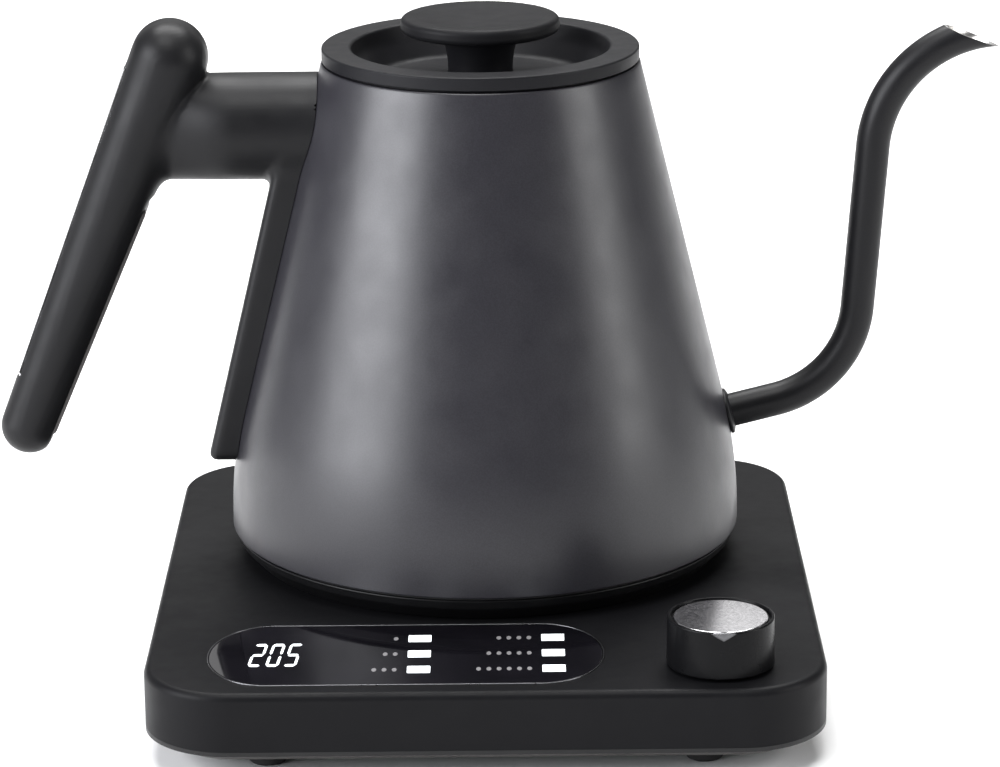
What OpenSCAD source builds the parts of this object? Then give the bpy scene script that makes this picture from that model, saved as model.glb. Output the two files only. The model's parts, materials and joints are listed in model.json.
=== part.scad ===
// Electric gooseneck kettle on its power base.
// Frame: +Z up, z = 0 on the table, the origin under the middle of the whole object,
// handle towards -X, spout towards +X, display and knob towards -Y.
// The kettle stands seated on the base, lid on.  All lengths are millimetres.

/* [Power base] */
// Width of the power base, left to right
base_w = 175; // [165:1:185]
// Depth of the power base, front to back
base_l = 191.5; // [186:0.5:200]
// Corner radius of the power base in plan
base_r = 23; // [20:1:30]
// Height of the deck above the table
deck_z = 24.6; // [24:0.1:26]
// Rounding along the upper edge of the deck
deck_edge_r = 1.8; // [1:0.1:2.2]
// Height of the seam between the two covers
seam_z = 13.5; // [13:0.1:14]
// Wall thickness of the moulded covers
cover_t = 2.2; // [1.8:0.1:2.4]
// Distance of the kettle's axis behind the middle of the base
axis_y = 22.2; // [20:0.1:24]

/* [Display and knob] */
// Length of the display window
window_l = 101.5; // [96:0.5:104]
// Depth of the display window, front to back
window_d = 42.8; // [38:0.2:43]
// Length of each rounded end of the window
window_end = 16; // [14:0.5:21]
// Window centre, left of the kettle's axis
window_x = 20.5; // [19:0.5:22]
// Gap between the window and the front edge of the base
window_gap = 6.5; // [6:0.5:8]
// Knob centre, right of the kettle's axis
knob_x = 60; // [56:0.5:62]
// Knob centre, behind the front edge of the base
knob_gap = 18.8; // [18:0.2:24]
// Radius of the knob
knob_r = 13.8; // [12:0.1:14]
// Height of the knob above the deck
knob_h = 13.4; // [12:0.2:15]

/* [Kettle body] */
// Outer radius of the steel shell at its foot
body_r = 70; // [68:0.1:71]
// Outer radius of the steel shell at its mouth
mouth_r = 43; // [42:0.1:44]
// Height of the shell's top above the table
shell_top_z = 161.2; // [160:0.1:163]
// Height of the shell's lower edge above the table
shell_foot_z = 32.2; // [32:0.1:33]
// Half angle of the cone
cone_angle = 13.7; // [13.5:0.05:13.8]
// Height at which the belly's arc turns vertical
belly_z = 34; // [33:0.5:36]
// Thickness of the sheet steel
sheet_t = 0.8; // [0.6:0.1:1]
// Height of the floor of the water chamber
floor_z = 46; // [45:0.5:47]

/* [Lid] */
// Outer radius of the lid's flange
lid_r = 42.8; // [42.6:0.05:43]
// Height of the flange's top above the table
lid_z = 165.4; // [165:0.1:166]
// Radius of the dish at the flange's top
dish_r = 35; // [34:0.1:35.5]
// Depth of the dish
dish_depth = 9.5; // [8.5:0.1:10]
// Radius of the lid's knob
lid_knob_r = 21.4; // [20:0.1:22]
// Height of the knob's top above the table
lid_knob_z = 173.3; // [173:0.1:175]
// Thickness of the knob's disc
lid_knob_t = 4.3; // [4:0.1:4.6]

/* [Spout] */
// Outside diameter of the spout tube
spout_d = 9.2; // [9:0.1:9.6]
// Reach of the spout's tip from the kettle's axis
spout_reach = 139.3; // [138:0.1:142]
// Radius of the lower bend, on the centre line
low_bend_r = 29.4; // [29:0.1:30]
// Centre of the lower bend, from the axis
low_bend_x = 73.3; // [73:0.1:74.5]
// Centre of the lower bend, above the table
low_bend_z = 93.4; // [93:0.1:94]
// Radius of the upper bend, on the centre line
high_bend_r = 34.5; // [34:0.1:35]
// Centre of the upper bend, from the axis
high_bend_x = 140.5; // [140:0.1:141.6]
// Centre of the upper bend, above the table
high_bend_z = 133.7; // [133:0.1:134]
// Rise of the spout where it leaves the body
spout_rise = 14; // [12:1:16]
// Slope of the cut across the spout's mouth
mouth_slope = 21.7; // [20:0.1:23]

/* [Handle] */
// Reach of the grip from the kettle's axis
handle_reach = 133.2; // [132:0.1:135]
// Radius of the grip's upper end
grip_top_r = 10.4; // [10:0.1:11]
// Radius of the grip's lower end
grip_low_r = 7.8; // [7.4:0.1:8.2]
// Upper end's centre, from the axis
grip_top_x = 83.8; // [83:0.1:86]
// Upper end's centre, above the table
grip_top_z = 162.4; // [161:0.1:162.5]
// Lower end's centre, above the table
grip_low_z = 60.3; // [60:0.1:61]
// Extra depth of the grip, front to back, beyond round
grip_flat = 5; // [4:0.5:6]
// Radius of the round arm
arm_r = 14.5; // [14:0.1:15]
// Height of the arm's centre above the table
arm_z = 143.6; // [143:0.1:144]
// How far the spine stands proud of the shell
spine_proud = 6.3; // [6:0.1:6.6]
// Width of the spine, front to back
spine_w = 24; // [22:1:25]
// Height of the spine's lower end above the table
spine_low_z = 51.9; // [49:0.1:52]

/* [Hidden] */
$fn = 96;
gap = 0.05;          // face-to-face clearance between neighbouring solids
play = 0.3;          // clearance between pieces that move past each other

// The origin lies midway between the grip's reach and the spout's reach.
axis_x = (handle_reach - spout_reach) / 2;

// Power base
foot_h = 3.8;                        // clear height under the lower cover
chamfer_in = 8.5;                    // how far the lower cover slopes inwards
chamfer_z = 10.5;                    // where that slope meets the vertical band
floor_top = foot_h + cover_t;
deck_low = deck_z - cover_t - 0.2;
foot_x = 56;
foot_y = base_l / 2 - 18;
foot_r = 5;
screw_x = 74;
screw_y = 62;
post_r = 3.6;                        // posts under the deck that the cover screws bite into
window_c = [axis_x - window_x, -base_l / 2 + window_gap + window_d / 2];
lens_t = 1.6;
knob_c = [axis_x + knob_x, -base_l / 2 + knob_gap];
knob_low = deck_z + 0.8;
knob_top = deck_z + knob_h;
shaft_r = 3;
board_z = 11;                        // underside of both circuit boards
board_t = 1.6;
board_top = board_z + board_t;
display_board_size = [148, 38];
display_board_c = [axis_x + 2, window_c[1] - 1];
power_board_size = [66, 92];
power_board_c = [axis_x - 46, 36];
inlet_x = 48;
inlet_z = seam_z;
inlet_r = 3.4;

// Base connector, on the kettle's axis
hub_r = 15.4;
hub_top = deck_z + 6.4;
pin_r = 2.2;
pin_bore = 2.6;
shutter_r = 5.8;
shutter_bore = 2.8;
shutter_low = 24.4;
shutter_top = 28;
ring_radii = [8.2, 12.8];            // mean radii of the two ring contacts
ring_t = 1.2;
slot_t = 2.2;

// Kettle body
cone_slope = tan(cone_angle);
belly_r = ((shell_top_z - belly_z) * cone_slope - (body_r - mouth_r))
          / (cone_slope * sin(cone_angle) - (1 - cos(cone_angle)));
collar_r = 37.9;                     // inside radius of the rolled mouth
collar_low = 155;
skirt_top = shell_foot_z - 0.8;
skirt_low = deck_z + play;
skirt_low_r = 64.6;
pan_z = 27.4;                        // underside of the skirt's floor
pan_t = 1.8;
pan_hole = 17.6;
spreader_r = 50;
spreader_low = floor_z - 3.1;
element_r = 40;
element_tube = 3.6;
post_ring = 57;
sensor_ring = 28.5;
housing_r = 21;

// Lid
flange_low = shell_top_z + gap;
dish_low = lid_z - dish_depth;
lid_floor_t = 1.5;
plug_r = 36.9;
stem_top_r = 11;
stem_low_r = 8.7;
knob_low_z = lid_knob_z - lid_knob_t;

// Spout: two bends joined by a straight tube
spout_r = spout_d / 2;
spout_bore = spout_r - sheet_t;
bend_gap = [high_bend_x - low_bend_x, high_bend_z - low_bend_z];
lean = acos((low_bend_r + high_bend_r) / norm(bend_gap)) - atan2(bend_gap[1], bend_gap[0]);
root_s = low_bend_r * [sin(spout_rise), -cos(spout_rise)] + [low_bend_x, low_bend_z];
root_len = 20;
mouth_end = 2;                       // heading of the tube at the very tip
tip = [spout_reach, high_bend_z + sqrt(pow(high_bend_r - spout_r, 2)
       - pow(high_bend_x - spout_reach, 2))];

// Handle
grip_low_x = handle_reach - grip_low_r;
grip_lean = atan2(grip_low_x - grip_top_x, grip_top_z - grip_low_z);
grip_axis_len = norm([grip_low_x - grip_top_x, grip_top_z - grip_low_z]);
trim_w = 13;
trim_t = 1.3;
cover_w = 14;
cover_d = 1.6;
bolt_r = 1.6;
boss_heights = [66, arm_z];          // heights of the spine's screw and the arm's bolt
arm_half = 9.6;                      // half depth of the arm where it runs into the grip

// ---------- helpers ----------

module at_axis() translate([axis_x, axis_y, 0]) children();

module at_base() translate([axis_x, 0, 0]) children();

// Puck between two heights
module disc(r, z0, z1) translate([0, 0, z0]) cylinder(r = r, h = z1 - z0);

// Flat ring between two heights
module ring(r_out, r_in, z0, z1) difference() {
    disc(r_out, z0, z1);
    disc(r_in, z0 - 1, z1 + 1);
}

// Block by its middle in plan, its size and its two heights
module block(c, size, z0, z1) translate([c[0] - size[0] / 2, c[1] - size[1] / 2, z0])
    cube([size[0], size[1], z1 - z0]);

// Cylinder lying along X at height z, from x0 to x1
module rod_x(r, x0, x1, z) translate([x0, 0, z]) rotate([0, 90, 0]) cylinder(r = r, h = x1 - x0);

// Copies round the axis
module round_copies(n, radius, start = 0) for (i = [0:n - 1])
    rotate([0, 0, start + 360 / n * i]) translate([radius, 0, 0]) children();

// The same thing at the four mirrored corners
module four(x, y) for (sx = [-1, 1], sy = [-1, 1]) translate([sx * x, sy * y, 0]) children();

// Points on an arc, from angle a0 to a1
function arc(c, r, a0, a1, n = 12) = [for (i = [0:n]) let (a = a0 + (a1 - a0) * i / n)
    [c[0] + r * cos(a), c[1] + r * sin(a)]];

// Sweeps a profile round the base's outline; the profile's x runs outwards from a corner centre
module round_base() {
    cx = base_w / 2 - base_r;
    cy = base_l / 2 - base_r;
    signs = [[1, 1], [-1, 1], [-1, -1], [1, -1]];
    for (i = [0:3]) translate([cx * signs[i][0], cy * signs[i][1], 0]) rotate([0, 0, 90 * i]) {
        rotate_extrude(angle = 90) children();
        rotate([90, 0, 0]) linear_extrude(height = i % 2 == 0 ? 2 * cy : 2 * cx) children();
    }
}

module base_middle(z0, z1) block([0, 0], [base_w - 2 * base_r, base_l - 2 * base_r], z0, z1);

// Outline of the display window: straight sides, half-ellipse ends
module window_outline(grow = 0) {
    half = window_l / 2 + grow;
    straight = window_l / 2 - window_end;
    ry = window_d / 2 + grow;
    rx = half - straight;
    polygon(concat(
        [for (a = [-90:6:90]) [straight + rx * cos(a), ry * sin(a)]],
        [for (a = [90:6:270]) [-straight + rx * cos(a), ry * sin(a)]]));
}

module window_slab(z0, z1, grow = 0) translate([window_c[0], window_c[1], z0])
    linear_extrude(height = z1 - z0) window_outline(grow);

// ---------- power base: covers and feet ----------

module base_top_cover() color("#232325") {
    edge = arc([base_r - deck_edge_r, deck_z - deck_edge_r], deck_edge_r, 90, 0, 6);
    difference() {
        at_base() {
            round_base() polygon(concat([[0, deck_low], [0, deck_z]], edge,
                [[base_r, seam_z + 0.1], [base_r - cover_t, seam_z + 0.1],
                 [base_r - cover_t, deck_low]]));
            base_middle(deck_low, deck_z);
            four(screw_x, screw_y) disc(post_r, 9.1, deck_low + 0.5);
        }
        window_slab(deck_z - lens_t - 0.1, deck_z + 1, 0.75);
        // Light wells under the window
        translate([window_c[0] - 33.5, window_c[1], 0]) block([0, 0], [22, 20], deck_low - 1, deck_z);
        for (x = [window_c[0] + 3.5, window_c[0] + 38]) for (i = [-1:1])
            block([x, window_c[1] + 11.2 * i], [7.4, 6.2], deck_low - 1, deck_z);
        translate([knob_c[0], knob_c[1], 0]) disc(3.6, deck_low - 1, deck_z + 1);
        at_axis() disc(hub_r + 0.15, deck_low - 1, deck_z + 1);
        at_base() four(screw_x, screw_y) disc(1.5, 8, 19);
        inlet_cut();
    }
}

module inlet_cut() at_base() translate([inlet_x, base_l / 2 - 20, inlet_z])
    rotate([-90, 0, 0]) cylinder(r = 5.6, h = 40);

module base_bottom_cover() color("#1e1e20") difference() {
    at_base() {
        slope = (chamfer_z - foot_h) / chamfer_in;
        inner = base_r - cover_t;
        round_base() polygon([[0, foot_h], [base_r - chamfer_in, foot_h], [base_r, chamfer_z],
            [base_r, seam_z - 0.1], [inner - gap, seam_z - 0.1], [inner - gap, seam_z + 1.8],
            [inner - 1.6, seam_z + 1.8], [inner - 1.6, chamfer_z + 0.6],
            [inner - 1.6 - (chamfer_z + 0.6 - floor_top) / slope, floor_top], [0, floor_top]]);
        base_middle(foot_h, floor_top);
        four(screw_x, screw_y) disc(5, floor_top - 0.5, 9);
    }
    at_base() four(screw_x, screw_y) {
        disc(1.75, 0, 12);
        disc(3.3, 0, 6.6);
    }
    at_base() four(foot_x, foot_y) disc(foot_r + gap, 0, foot_h + 1);
    inlet_cut();
}

module base_feet() color("#141414") at_base() four(foot_x, foot_y) {
    rotate_extrude() polygon(concat([[0, 0]], arc([foot_r - 0.8, 0.8], 0.8, -90, 0, 5),
        [[foot_r, foot_h + 0.95], [0, foot_h + 0.95]]));
}

module base_screws() color("#b8b8b8") at_base() four(screw_x, screw_y) difference() {
    union() {
        disc(3, 4.6, 6.6 - gap);
        disc(1.45, 5, 17);
    }
    cross_recess(4.6);
}

// Cross recess cut upwards into a screw's head
module cross_recess(z) for (a = [0, 90]) rotate([0, 0, a])
    translate([-1.6, -0.3, z - 1]) cube([3.2, 0.6, 2]);

// ---------- power base: display ----------

module display_window() color("#08080a") window_slab(deck_z - lens_t, deck_z + 0.15);

module display_trim() color("#8c8c90") difference() {
    window_slab(deck_z - 1.2, deck_z + 0.2, 0.7);
    window_slab(deck_z - 2, deck_z + 1, gap);
}

module display_board() color("#1f5a34") difference() {
    block(display_board_c, display_board_size, board_z, board_top);
    at_display_screws() disc(1.6, 0, 20);
    post_clearance();
}

module at_display_screws() translate([display_board_c[0], display_board_c[1], 0])
    four(67, 14) children();

module at_power_screws() translate([power_board_c[0], power_board_c[1], 0])
    four(29, 42) children();

// Notches where the boards pass the posts under the deck
module post_clearance() at_base() four(screw_x, screw_y) disc(post_r + 0.5, 0, 20);

module digit_display() color("#3a3a3c")
    block([window_c[0] - 33.5, window_c[1]], [21, 19], board_top, deck_z - lens_t - 0.4);

module indicator_leds() color("#f2f2f2") for (x = [3.5, 38], i = [-1:1])
    block([window_c[0] + x, window_c[1] + 11.2 * i], [6.4, 5.2], board_top, deck_z - lens_t - 0.4);

// ---------- power base: electronics ----------

module power_board() color("#1f5a34") difference() {
    block(power_board_c, power_board_size, board_z, board_top);
    at_power_screws() disc(1.6, 0, 20);
    post_clearance();
    at_axis() disc(20.5, 0, 40);
}

module relay() color("#20508c") block(power_board_c + [-8, 22], [19, 15], board_top, 20.6);

module transformer() color("#c8a020") block(power_board_c + [-16, -26], [20, 16], board_top, 21.2);

module filter_capacitor() color("#26262c") translate([power_board_c[0] - 12, power_board_c[1], 18.1])
    rotate([0, 90, 0]) translate([0, 0, -11]) cylinder(r = 4, h = 22);

module buzzer() color("#101012") translate([display_board_c[0] + 34, display_board_c[1] + 2, 0])
    ring(6, 0.9, board_top, 20);

module board_screws() color("#b8b8b8") {
    at_display_screws() board_screw();
    at_power_screws() board_screw();
}

module board_screw() {
    disc(1.4, floor_top + 0.8, board_top);
    disc(2.8, board_top, board_top + 1.4);
}

module terminal_block() color("#3c7a50")
    block([axis_x + inlet_x - 2, 62], [20, 11], floor_top, 18);

module mains_leads() for (i = [-1:1]) color(["#2c5aa0", "#6a4a2a", "#5c8a30"][i + 1])
    translate([axis_x + inlet_x + 1.9 * i, 67.6, 12.5]) rotate([-90, 0, 0]) cylinder(r = 0.85, h = 9.6);

module cord_gland() color("#111112") at_base() translate([inlet_x, 0, inlet_z]) rotate([-90, 0, 0])
    difference() {
        union() {
            translate([0, 0, base_l / 2 - 10]) cylinder(r = 5.5, h = 10);
            translate([0, 0, base_l / 2 - 18]) cylinder(r = 5.5, h = 8.5);
        }
        translate([0, 0, base_l / 2 - 19]) cylinder(r = inlet_r, h = 20);
    }

// ---------- power base: rotary knob ----------

module at_knob() translate([knob_c[0], knob_c[1], 0]) children();

module encoder_body() color("#9a9a9e") at_knob() difference() {
    union() {
        block([0, 0], [12, 12.4], board_top + gap, 19.4);
        disc(3.45, 19, deck_low - 0.1);
    }
    disc(5.2, 14.4, 17);
    disc(shaft_r + 0.05, 13.4, deck_z);
}

module encoder_rotor() color("#c9a24a") at_knob() ring(5, shaft_r + 0.1, 14.7, 16.7);

module encoder_shaft() color("#c4c4c8") at_knob() disc(shaft_r, 14.2, knob_top - 3);

module knob_body() color("#1a1a1c") at_knob() difference() {
    union() {
        rotate_extrude() polygon(concat(
            [[0, knob_low + 2], [knob_r - 1.6, knob_low + 2], [knob_r - 1.6, knob_low]],
            arc([knob_r - 0.5, knob_low + 0.5], 0.5, -90, 0, 4),
            arc([knob_r - 0.7, knob_top - 0.7], 0.7, 0, 90, 5),
            [[knob_r - 1.5, knob_top - 1.4], [0, knob_top - 1.4]]));
        knob_pointer();
    }
    disc(shaft_r + 0.02, 0, knob_top - 3 + gap);
}

// Diamond that wraps over the front edge of the knob, a little proud of it
module knob_pointer() intersection() {
    rotate_extrude() polygon([[knob_r - 1.45, knob_top - 3], [knob_r + 0.25, knob_top - 3],
        [knob_r + 0.25, knob_top - 0.4], [knob_r - 0.4, knob_top + 0.25],
        [knob_r - 1.45, knob_top + 0.25]]);
    translate([0, -knob_r, knob_top]) rotate([45, 0, 0]) translate([0, 0, -3])
        linear_extrude(height = 6) polygon([[-3.4, 0.2], [0, -1.7], [3.4, 0.2], [0, 1.06]]);
}

module knob_cap() color("#c9c9cc") at_knob()
    rotate_extrude() polygon(concat([[0, knob_top - 1.35], [knob_r - 1.6, knob_top - 1.35]],
        arc([knob_r - 1.9, knob_top - 0.7], 0.3, 0, 90, 4), [[0, knob_top - 0.3]]));

// ---------- power base: connector ----------

module connector_socket() color("#18181a") at_axis() difference() {
    union() {
        disc(19.6, floor_top + 1, deck_low - gap);
        disc(hub_r, deck_low - 0.5, hub_top);
    }
    disc(pin_bore, 12, hub_top + 1);
    disc(shutter_r + 0.2, 19.6, hub_top + 1);
    for (r = ring_radii) ring(r + slot_t / 2, r - slot_t / 2, 15, hub_top + 1);
}

module socket_contacts() color("#c9a24a") at_axis() {
    disc(pin_bore - 0.1, 12 + gap, 13.2);
    for (r = ring_radii) ring(r + slot_t / 2 - 0.1, r - slot_t / 2 + 0.1, 15 + gap, 16.6);
}

module shutter_spring() color("#c4c4c8") at_axis() translate([0, 0, 19.8])
    linear_extrude(height = shutter_low - 20, twist = -360 * 3, slices = 60)
        translate([4.3, 0]) circle(r = 0.55, $fn = 10);

module connector_shutter() color("#2a2a2c") at_axis()
    ring(shutter_r, shutter_bore, shutter_low, shutter_top);

// ---------- kettle: shell and skirt ----------

// Side of the shell as points from foot to mouth, moved inwards by t
function shell_side(t) = concat([[body_r - t, shell_foot_z]],
    arc([body_r - belly_r, belly_z], belly_r - t, 0, cone_angle, 10),
    [[mouth_r - t / cos(cone_angle), shell_top_z]]);

function reversed(p) = [for (i = [len(p) - 1:-1:0]) p[i]];

// Everything inside the shell's outer face, for fitting other pieces against it
module shell_solid(grow = 0) rotate_extrude($fn = 180)
    polygon(concat([[0, 20], [body_r + grow, 20]],
        [for (p = shell_side(-grow)) p], [[mouth_r + grow, 190], [0, 190]]));

module kettle_shell() color("#3b3b3f") at_axis() difference() {
    rotate_extrude($fn = 180) polygon(concat(
        [[body_r - sheet_t, shell_foot_z]], shell_side(0),
        [[collar_r, shell_top_z], [collar_r, collar_low], [collar_r + sheet_t, collar_low],
         [collar_r + sheet_t, shell_top_z - sheet_t],
         [mouth_r + sheet_t * cone_slope - sheet_t / cos(cone_angle), shell_top_z - sheet_t]],
        [for (p = reversed(shell_side(sheet_t))) if (p[1] < shell_top_z - sheet_t) p]));
    at_spout_root() translate([0, 0, -12]) cylinder(r = spout_bore, h = 30);
    for (z = boss_heights) rod_x(bolt_r + 0.15, -80, -30, z);
}

// Places its children at the spout's root, with their +Z along the tube
module at_spout_root() translate([root_s[0], 0, root_s[1]]) rotate([0, 90 - spout_rise, 0])
    translate([0, 0, -root_len]) children();

module heater_plate() color("#b9b9bd") at_axis() difference() {
    union() {
        rim_r = body_r - 1.6;
        disc(rim_r, floor_z, floor_z + 0.9);
        ring(rim_r, rim_r - 0.9, floor_z - 4, floor_z + 0.5);
        round_copies(3, post_ring, 30) disc(3, 41.2, floor_z + 0.2);
    }
    round_copies(3, post_ring, 30) disc(1.5, 41, floor_z - 0.6);
    round_copies(1, sensor_ring, 90) disc(3.3, 40, floor_z + 2);
}

module heat_spreader() color("#a8a8ac") at_axis() difference() {
    disc(spreader_r, spreader_low, floor_z - gap);
    round_copies(1, sensor_ring, 90) disc(4.6, 40, floor_z + 2);
}

module heating_element() color("#7c7c80") at_axis() translate([0, 0, spreader_low - element_tube - gap])
    rotate([0, 0, -65]) rotate_extrude(angle = 310) translate([element_r, 0]) circle(r = element_tube);

module element_terminals() color("#c4c4c8") at_axis() for (a = [-69, -111])
    rotate([0, 0, a]) translate([element_r, 0, spreader_low - element_tube - gap]) {
        rotate([90, 0, 0]) translate([0, 0, -1.5]) cylinder(r = 1.6, h = 3);
        translate([-0.4, -1.4, -7]) cube([0.8, 2.8, 6]);
    }

module thermal_cutouts() color("#8a7a5a") at_axis() round_copies(2, sensor_ring, 0)
    disc(6.2, spreader_low - 5.2, spreader_low - gap);

module temperature_sensor() color("#c4c4c8") at_axis() round_copies(1, sensor_ring, 90)
    rotate_extrude() polygon(concat([[0, 38], [4.2, 38], [4.2, 40], [3, 40]],
        arc([0, 51], 3, 0, 90, 8)));

module sensor_seal() color("#d0d0d0") at_axis() round_copies(1, sensor_ring, 90)
    ring(5.4, 3.05, floor_z + 0.95, floor_z + 2.4);

module control_housing() color("#e8e4da") at_axis() difference() {
    union() {
        disc(housing_r, pan_z + pan_t + 1.2, 41.8);
        disc(shutter_r - 0.3, shutter_top + play, 33);
    }
    difference() {
        disc(hub_r + 0.9, 20, hub_top + 1);
        disc(shutter_r - 0.3, 20, 40);
    }
    disc(pin_r + 0.02, 20, 35.5);
    for (r = ring_radii) ring(r + ring_t / 2 + 0.02, r - ring_t / 2 - 0.02, hub_top, hub_top + 2.5);
    // Room above the contacts
    disc(housing_r - 2, 37.5, 43);
}

module connector_rings() color("#c9a24a") at_axis() for (r = ring_radii)
    ring(r + ring_t / 2, r - ring_t / 2, 18, hub_top + 2.5 - gap);

module earth_pin() color("#c4c4c8") at_axis() disc(pin_r, 14.6, 35.5 - gap);

module skirt_seal() color("#0c0c0d") at_axis()
    ring(body_r - 0.6, body_r - 3, skirt_top + gap, shell_foot_z - gap);

module base_skirt() color("#1b1b1d") at_axis() difference() {
    union() {
        rotate_extrude($fn = 180) polygon([[pan_hole, pan_z], [skirt_low_r - 3, pan_z],
            [skirt_low_r - 3, skirt_low], [skirt_low_r - 0.6, skirt_low],
            [skirt_low_r, skirt_low + 0.6], [body_r - 1.6, skirt_top - 2.2],
            [body_r - 0.8, skirt_top], [body_r - 3.3, skirt_top],
            [body_r - 3.3, shell_foot_z + 4], [body_r - 5, shell_foot_z + 4],
            [body_r - 5, pan_z + pan_t], [pan_hole, pan_z + pan_t]]);
        round_copies(3, post_ring, 30) disc(4.6, pan_z + 0.5, 41.1);
    }
    round_copies(3, post_ring, 30) {
        disc(1.75, 20, 44);
        disc(3.2, 20, 31);
    }
}

module skirt_screws() color("#b8b8b8") at_axis() round_copies(3, post_ring, 30) difference() {
    union() {
        disc(3, 29, 31 - gap);
        disc(1.45, 29.5, 45);
    }
    cross_recess(29);
}

// ---------- kettle: spout ----------

// Stations along the spout's centre line: x, z and heading above the horizontal
function low_bend_stations(n) = [for (i = [0:n])
    let (h = spout_rise + (90 - lean - spout_rise) * i / n)
    [low_bend_x + low_bend_r * sin(h), low_bend_z - low_bend_r * cos(h), h]];
function high_bend_stations(n) = [for (i = [0:n])
    let (h = 90 - lean + (mouth_end - 90 + lean) * i / n)
    [high_bend_x - high_bend_r * sin(h), high_bend_z + high_bend_r * cos(h), h]];
function spout_stations() = concat(
    [[root_s[0] - root_len * cos(spout_rise), root_s[1] - root_len * sin(spout_rise), spout_rise]],
    low_bend_stations(12), high_bend_stations(15));

// Ring of points of radius r round one station
function station_ring(p, r, sides) = [for (j = [0:sides - 1]) let (a = 360 * j / sides)
    [p[0] - r * cos(a) * sin(p[2]), r * sin(a), p[1] + r * cos(a) * cos(p[2])]];

// Two triangles between neighbouring points of two rings that start at a and b
function band(a, b, sides) = [for (j = [0:sides - 1], half = [0, 1]) let (k = (j + 1) % sides)
    half == 0 ? [a + j, b + j, b + k] : [a + j, b + k, a + k]];

// Hollow tube swept along the stations
module swept_tube(stations, r_out, r_in, sides = 24) {
    n = len(stations);
    inner = n * sides;
    polyhedron(
        points = [for (r = [r_out, r_in], p = stations) each station_ring(p, r, sides)],
        faces = concat(
            [for (i = [0:n - 2]) each band(i * sides, (i + 1) * sides, sides)],
            [for (i = [0:n - 2]) each band(inner + (i + 1) * sides, inner + i * sides, sides)],
            band(inner, 0, sides),
            band((n - 1) * sides, inner + (n - 1) * sides, sides)));
}

module spout_tube() color("#2c2c2f") at_axis() difference() {
    swept_tube(spout_stations(), spout_r, spout_bore);
    shell_solid(gap);
    // Slanted cut across the mouth
    translate([tip[0], 0, tip[1]]) rotate([0, mouth_slope, 0]) translate([-40, -20, 0])
        cube([80, 40, 40]);
}

module spout_collar() color("#242426") at_axis() difference() {
    at_spout_root() translate([0, 0, root_len - 17]) cylinder(r = 6.4, h = 4.6);
    at_spout_root() cylinder(r = spout_r + gap, h = root_len);
    shell_solid(gap);
}

// ---------- kettle: handle ----------

// Radius of the cone's face at height z
function cone_r(z) = mouth_r + (shell_top_z - z) * cone_slope;

module grip_form(grow = 0) hull() for (s = [-1, 1]) {
    translate([-grip_top_x, s * grip_flat / 2, grip_top_z]) sphere(r = grip_top_r + grow, $fn = 40);
    translate([-grip_low_x, s * grip_flat / 2, grip_low_z]) sphere(r = grip_low_r + grow, $fn = 40);
}

// Places its children on the grip's centre line, +Z up along it, +X towards the kettle
module at_grip() translate([-grip_low_x, 0, grip_low_z]) rotate([0, grip_lean, 0]) children();

// Slab that rides along the grip's outer or inner face
module grip_strip(side, w, t, z0, z1, sink) {
    r0 = grip_low_r + (grip_top_r - grip_low_r) * z0 / grip_axis_len;
    r1 = grip_low_r + (grip_top_r - grip_low_r) * z1 / grip_axis_len;
    at_grip() rotate([90, 0, 0]) translate([0, 0, -w / 2]) linear_extrude(height = w)
        polygon([[side * (r0 - sink), z0], [side * (r0 - sink + t), z0],
                 [side * (r1 - sink + t), z1], [side * (r1 - sink), z1]]);
}

module handle_spine() color("#242426") at_axis() difference() {
    rotate([90, 0, 0]) translate([0, 0, -spine_w / 2]) linear_extrude(height = spine_w)
        polygon(concat([[-40, spine_low_z]],
            [[-cone_r(spine_low_z + 4) - spine_proud + 4.5, spine_low_z],
             [-cone_r(spine_low_z + 4) - spine_proud, spine_low_z + 4.5]],
            [[-cone_r(arm_z - 1) - spine_proud, arm_z - 1], [-40, arm_z - 1]]));
    shell_solid(gap);
    rod_x(arm_r + gap, -120, 0, arm_z);
    rod_x(bolt_r + 0.2, -100, -40, boss_heights[0]);
    rod_x(4, -100, -cone_r(boss_heights[0]) - 3.2, boss_heights[0]);
}

module handle_arm() color("#262628") at_axis() difference() {
    intersection() {
        rod_x(arm_r, -grip_top_x - 6, -30, arm_z);
        // Narrows front to back towards the grip
        linear_extrude(height = 200) polygon([[-30, -arm_half - 12.8], [-grip_top_x - 6, -arm_half],
            [-grip_top_x - 6, arm_half], [-30, arm_half + 12.8]]);
    }
    rod_x(arm_r - 3, -68, -cone_r(arm_z) - 5, arm_z);
    rod_x(bolt_r + 0.2, -120, -30, arm_z);
    shell_solid(gap);
    grip_form(gap);
}

module handle_grip() color("#242426") at_axis() difference() {
    grip_form();
    grip_strip(1, 40, 9, -3, 72, cover_d);
    grip_strip(-1, trim_w + 0.1, 9, 13, 105, trim_t - 0.6);
    rod_x(bolt_r + 0.2, -120, -60, arm_z);
    rod_x(4.4, -120, -grip_top_x - 4, arm_z);
}

module handle_inner_cover() color("#4a4644") at_axis()
    grip_strip(1, cover_w, 1.2, 1, 70, cover_d - gap);

module handle_trim() color("#c9c9cc") at_axis()
    grip_strip(-1, trim_w, trim_t - gap, 13 + gap, 105 - gap, trim_t - 0.6 - gap);

module handle_bolt() color("#b8b8b8") at_axis() {
    rod_x(bolt_r, -grip_top_x - 6, -cone_r(arm_z) + 5, arm_z);
    rod_x(3.8, -grip_top_x - 7, -grip_top_x - 4 - gap, arm_z);
}

module spine_screw() color("#b8b8b8") at_axis() {
    face = -cone_r(boss_heights[0]);
    rod_x(bolt_r, face - 4.4, face + 5, boss_heights[0]);
    rod_x(3.7, face - 5.6, face - 3.2 - gap, boss_heights[0]);
}

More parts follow.
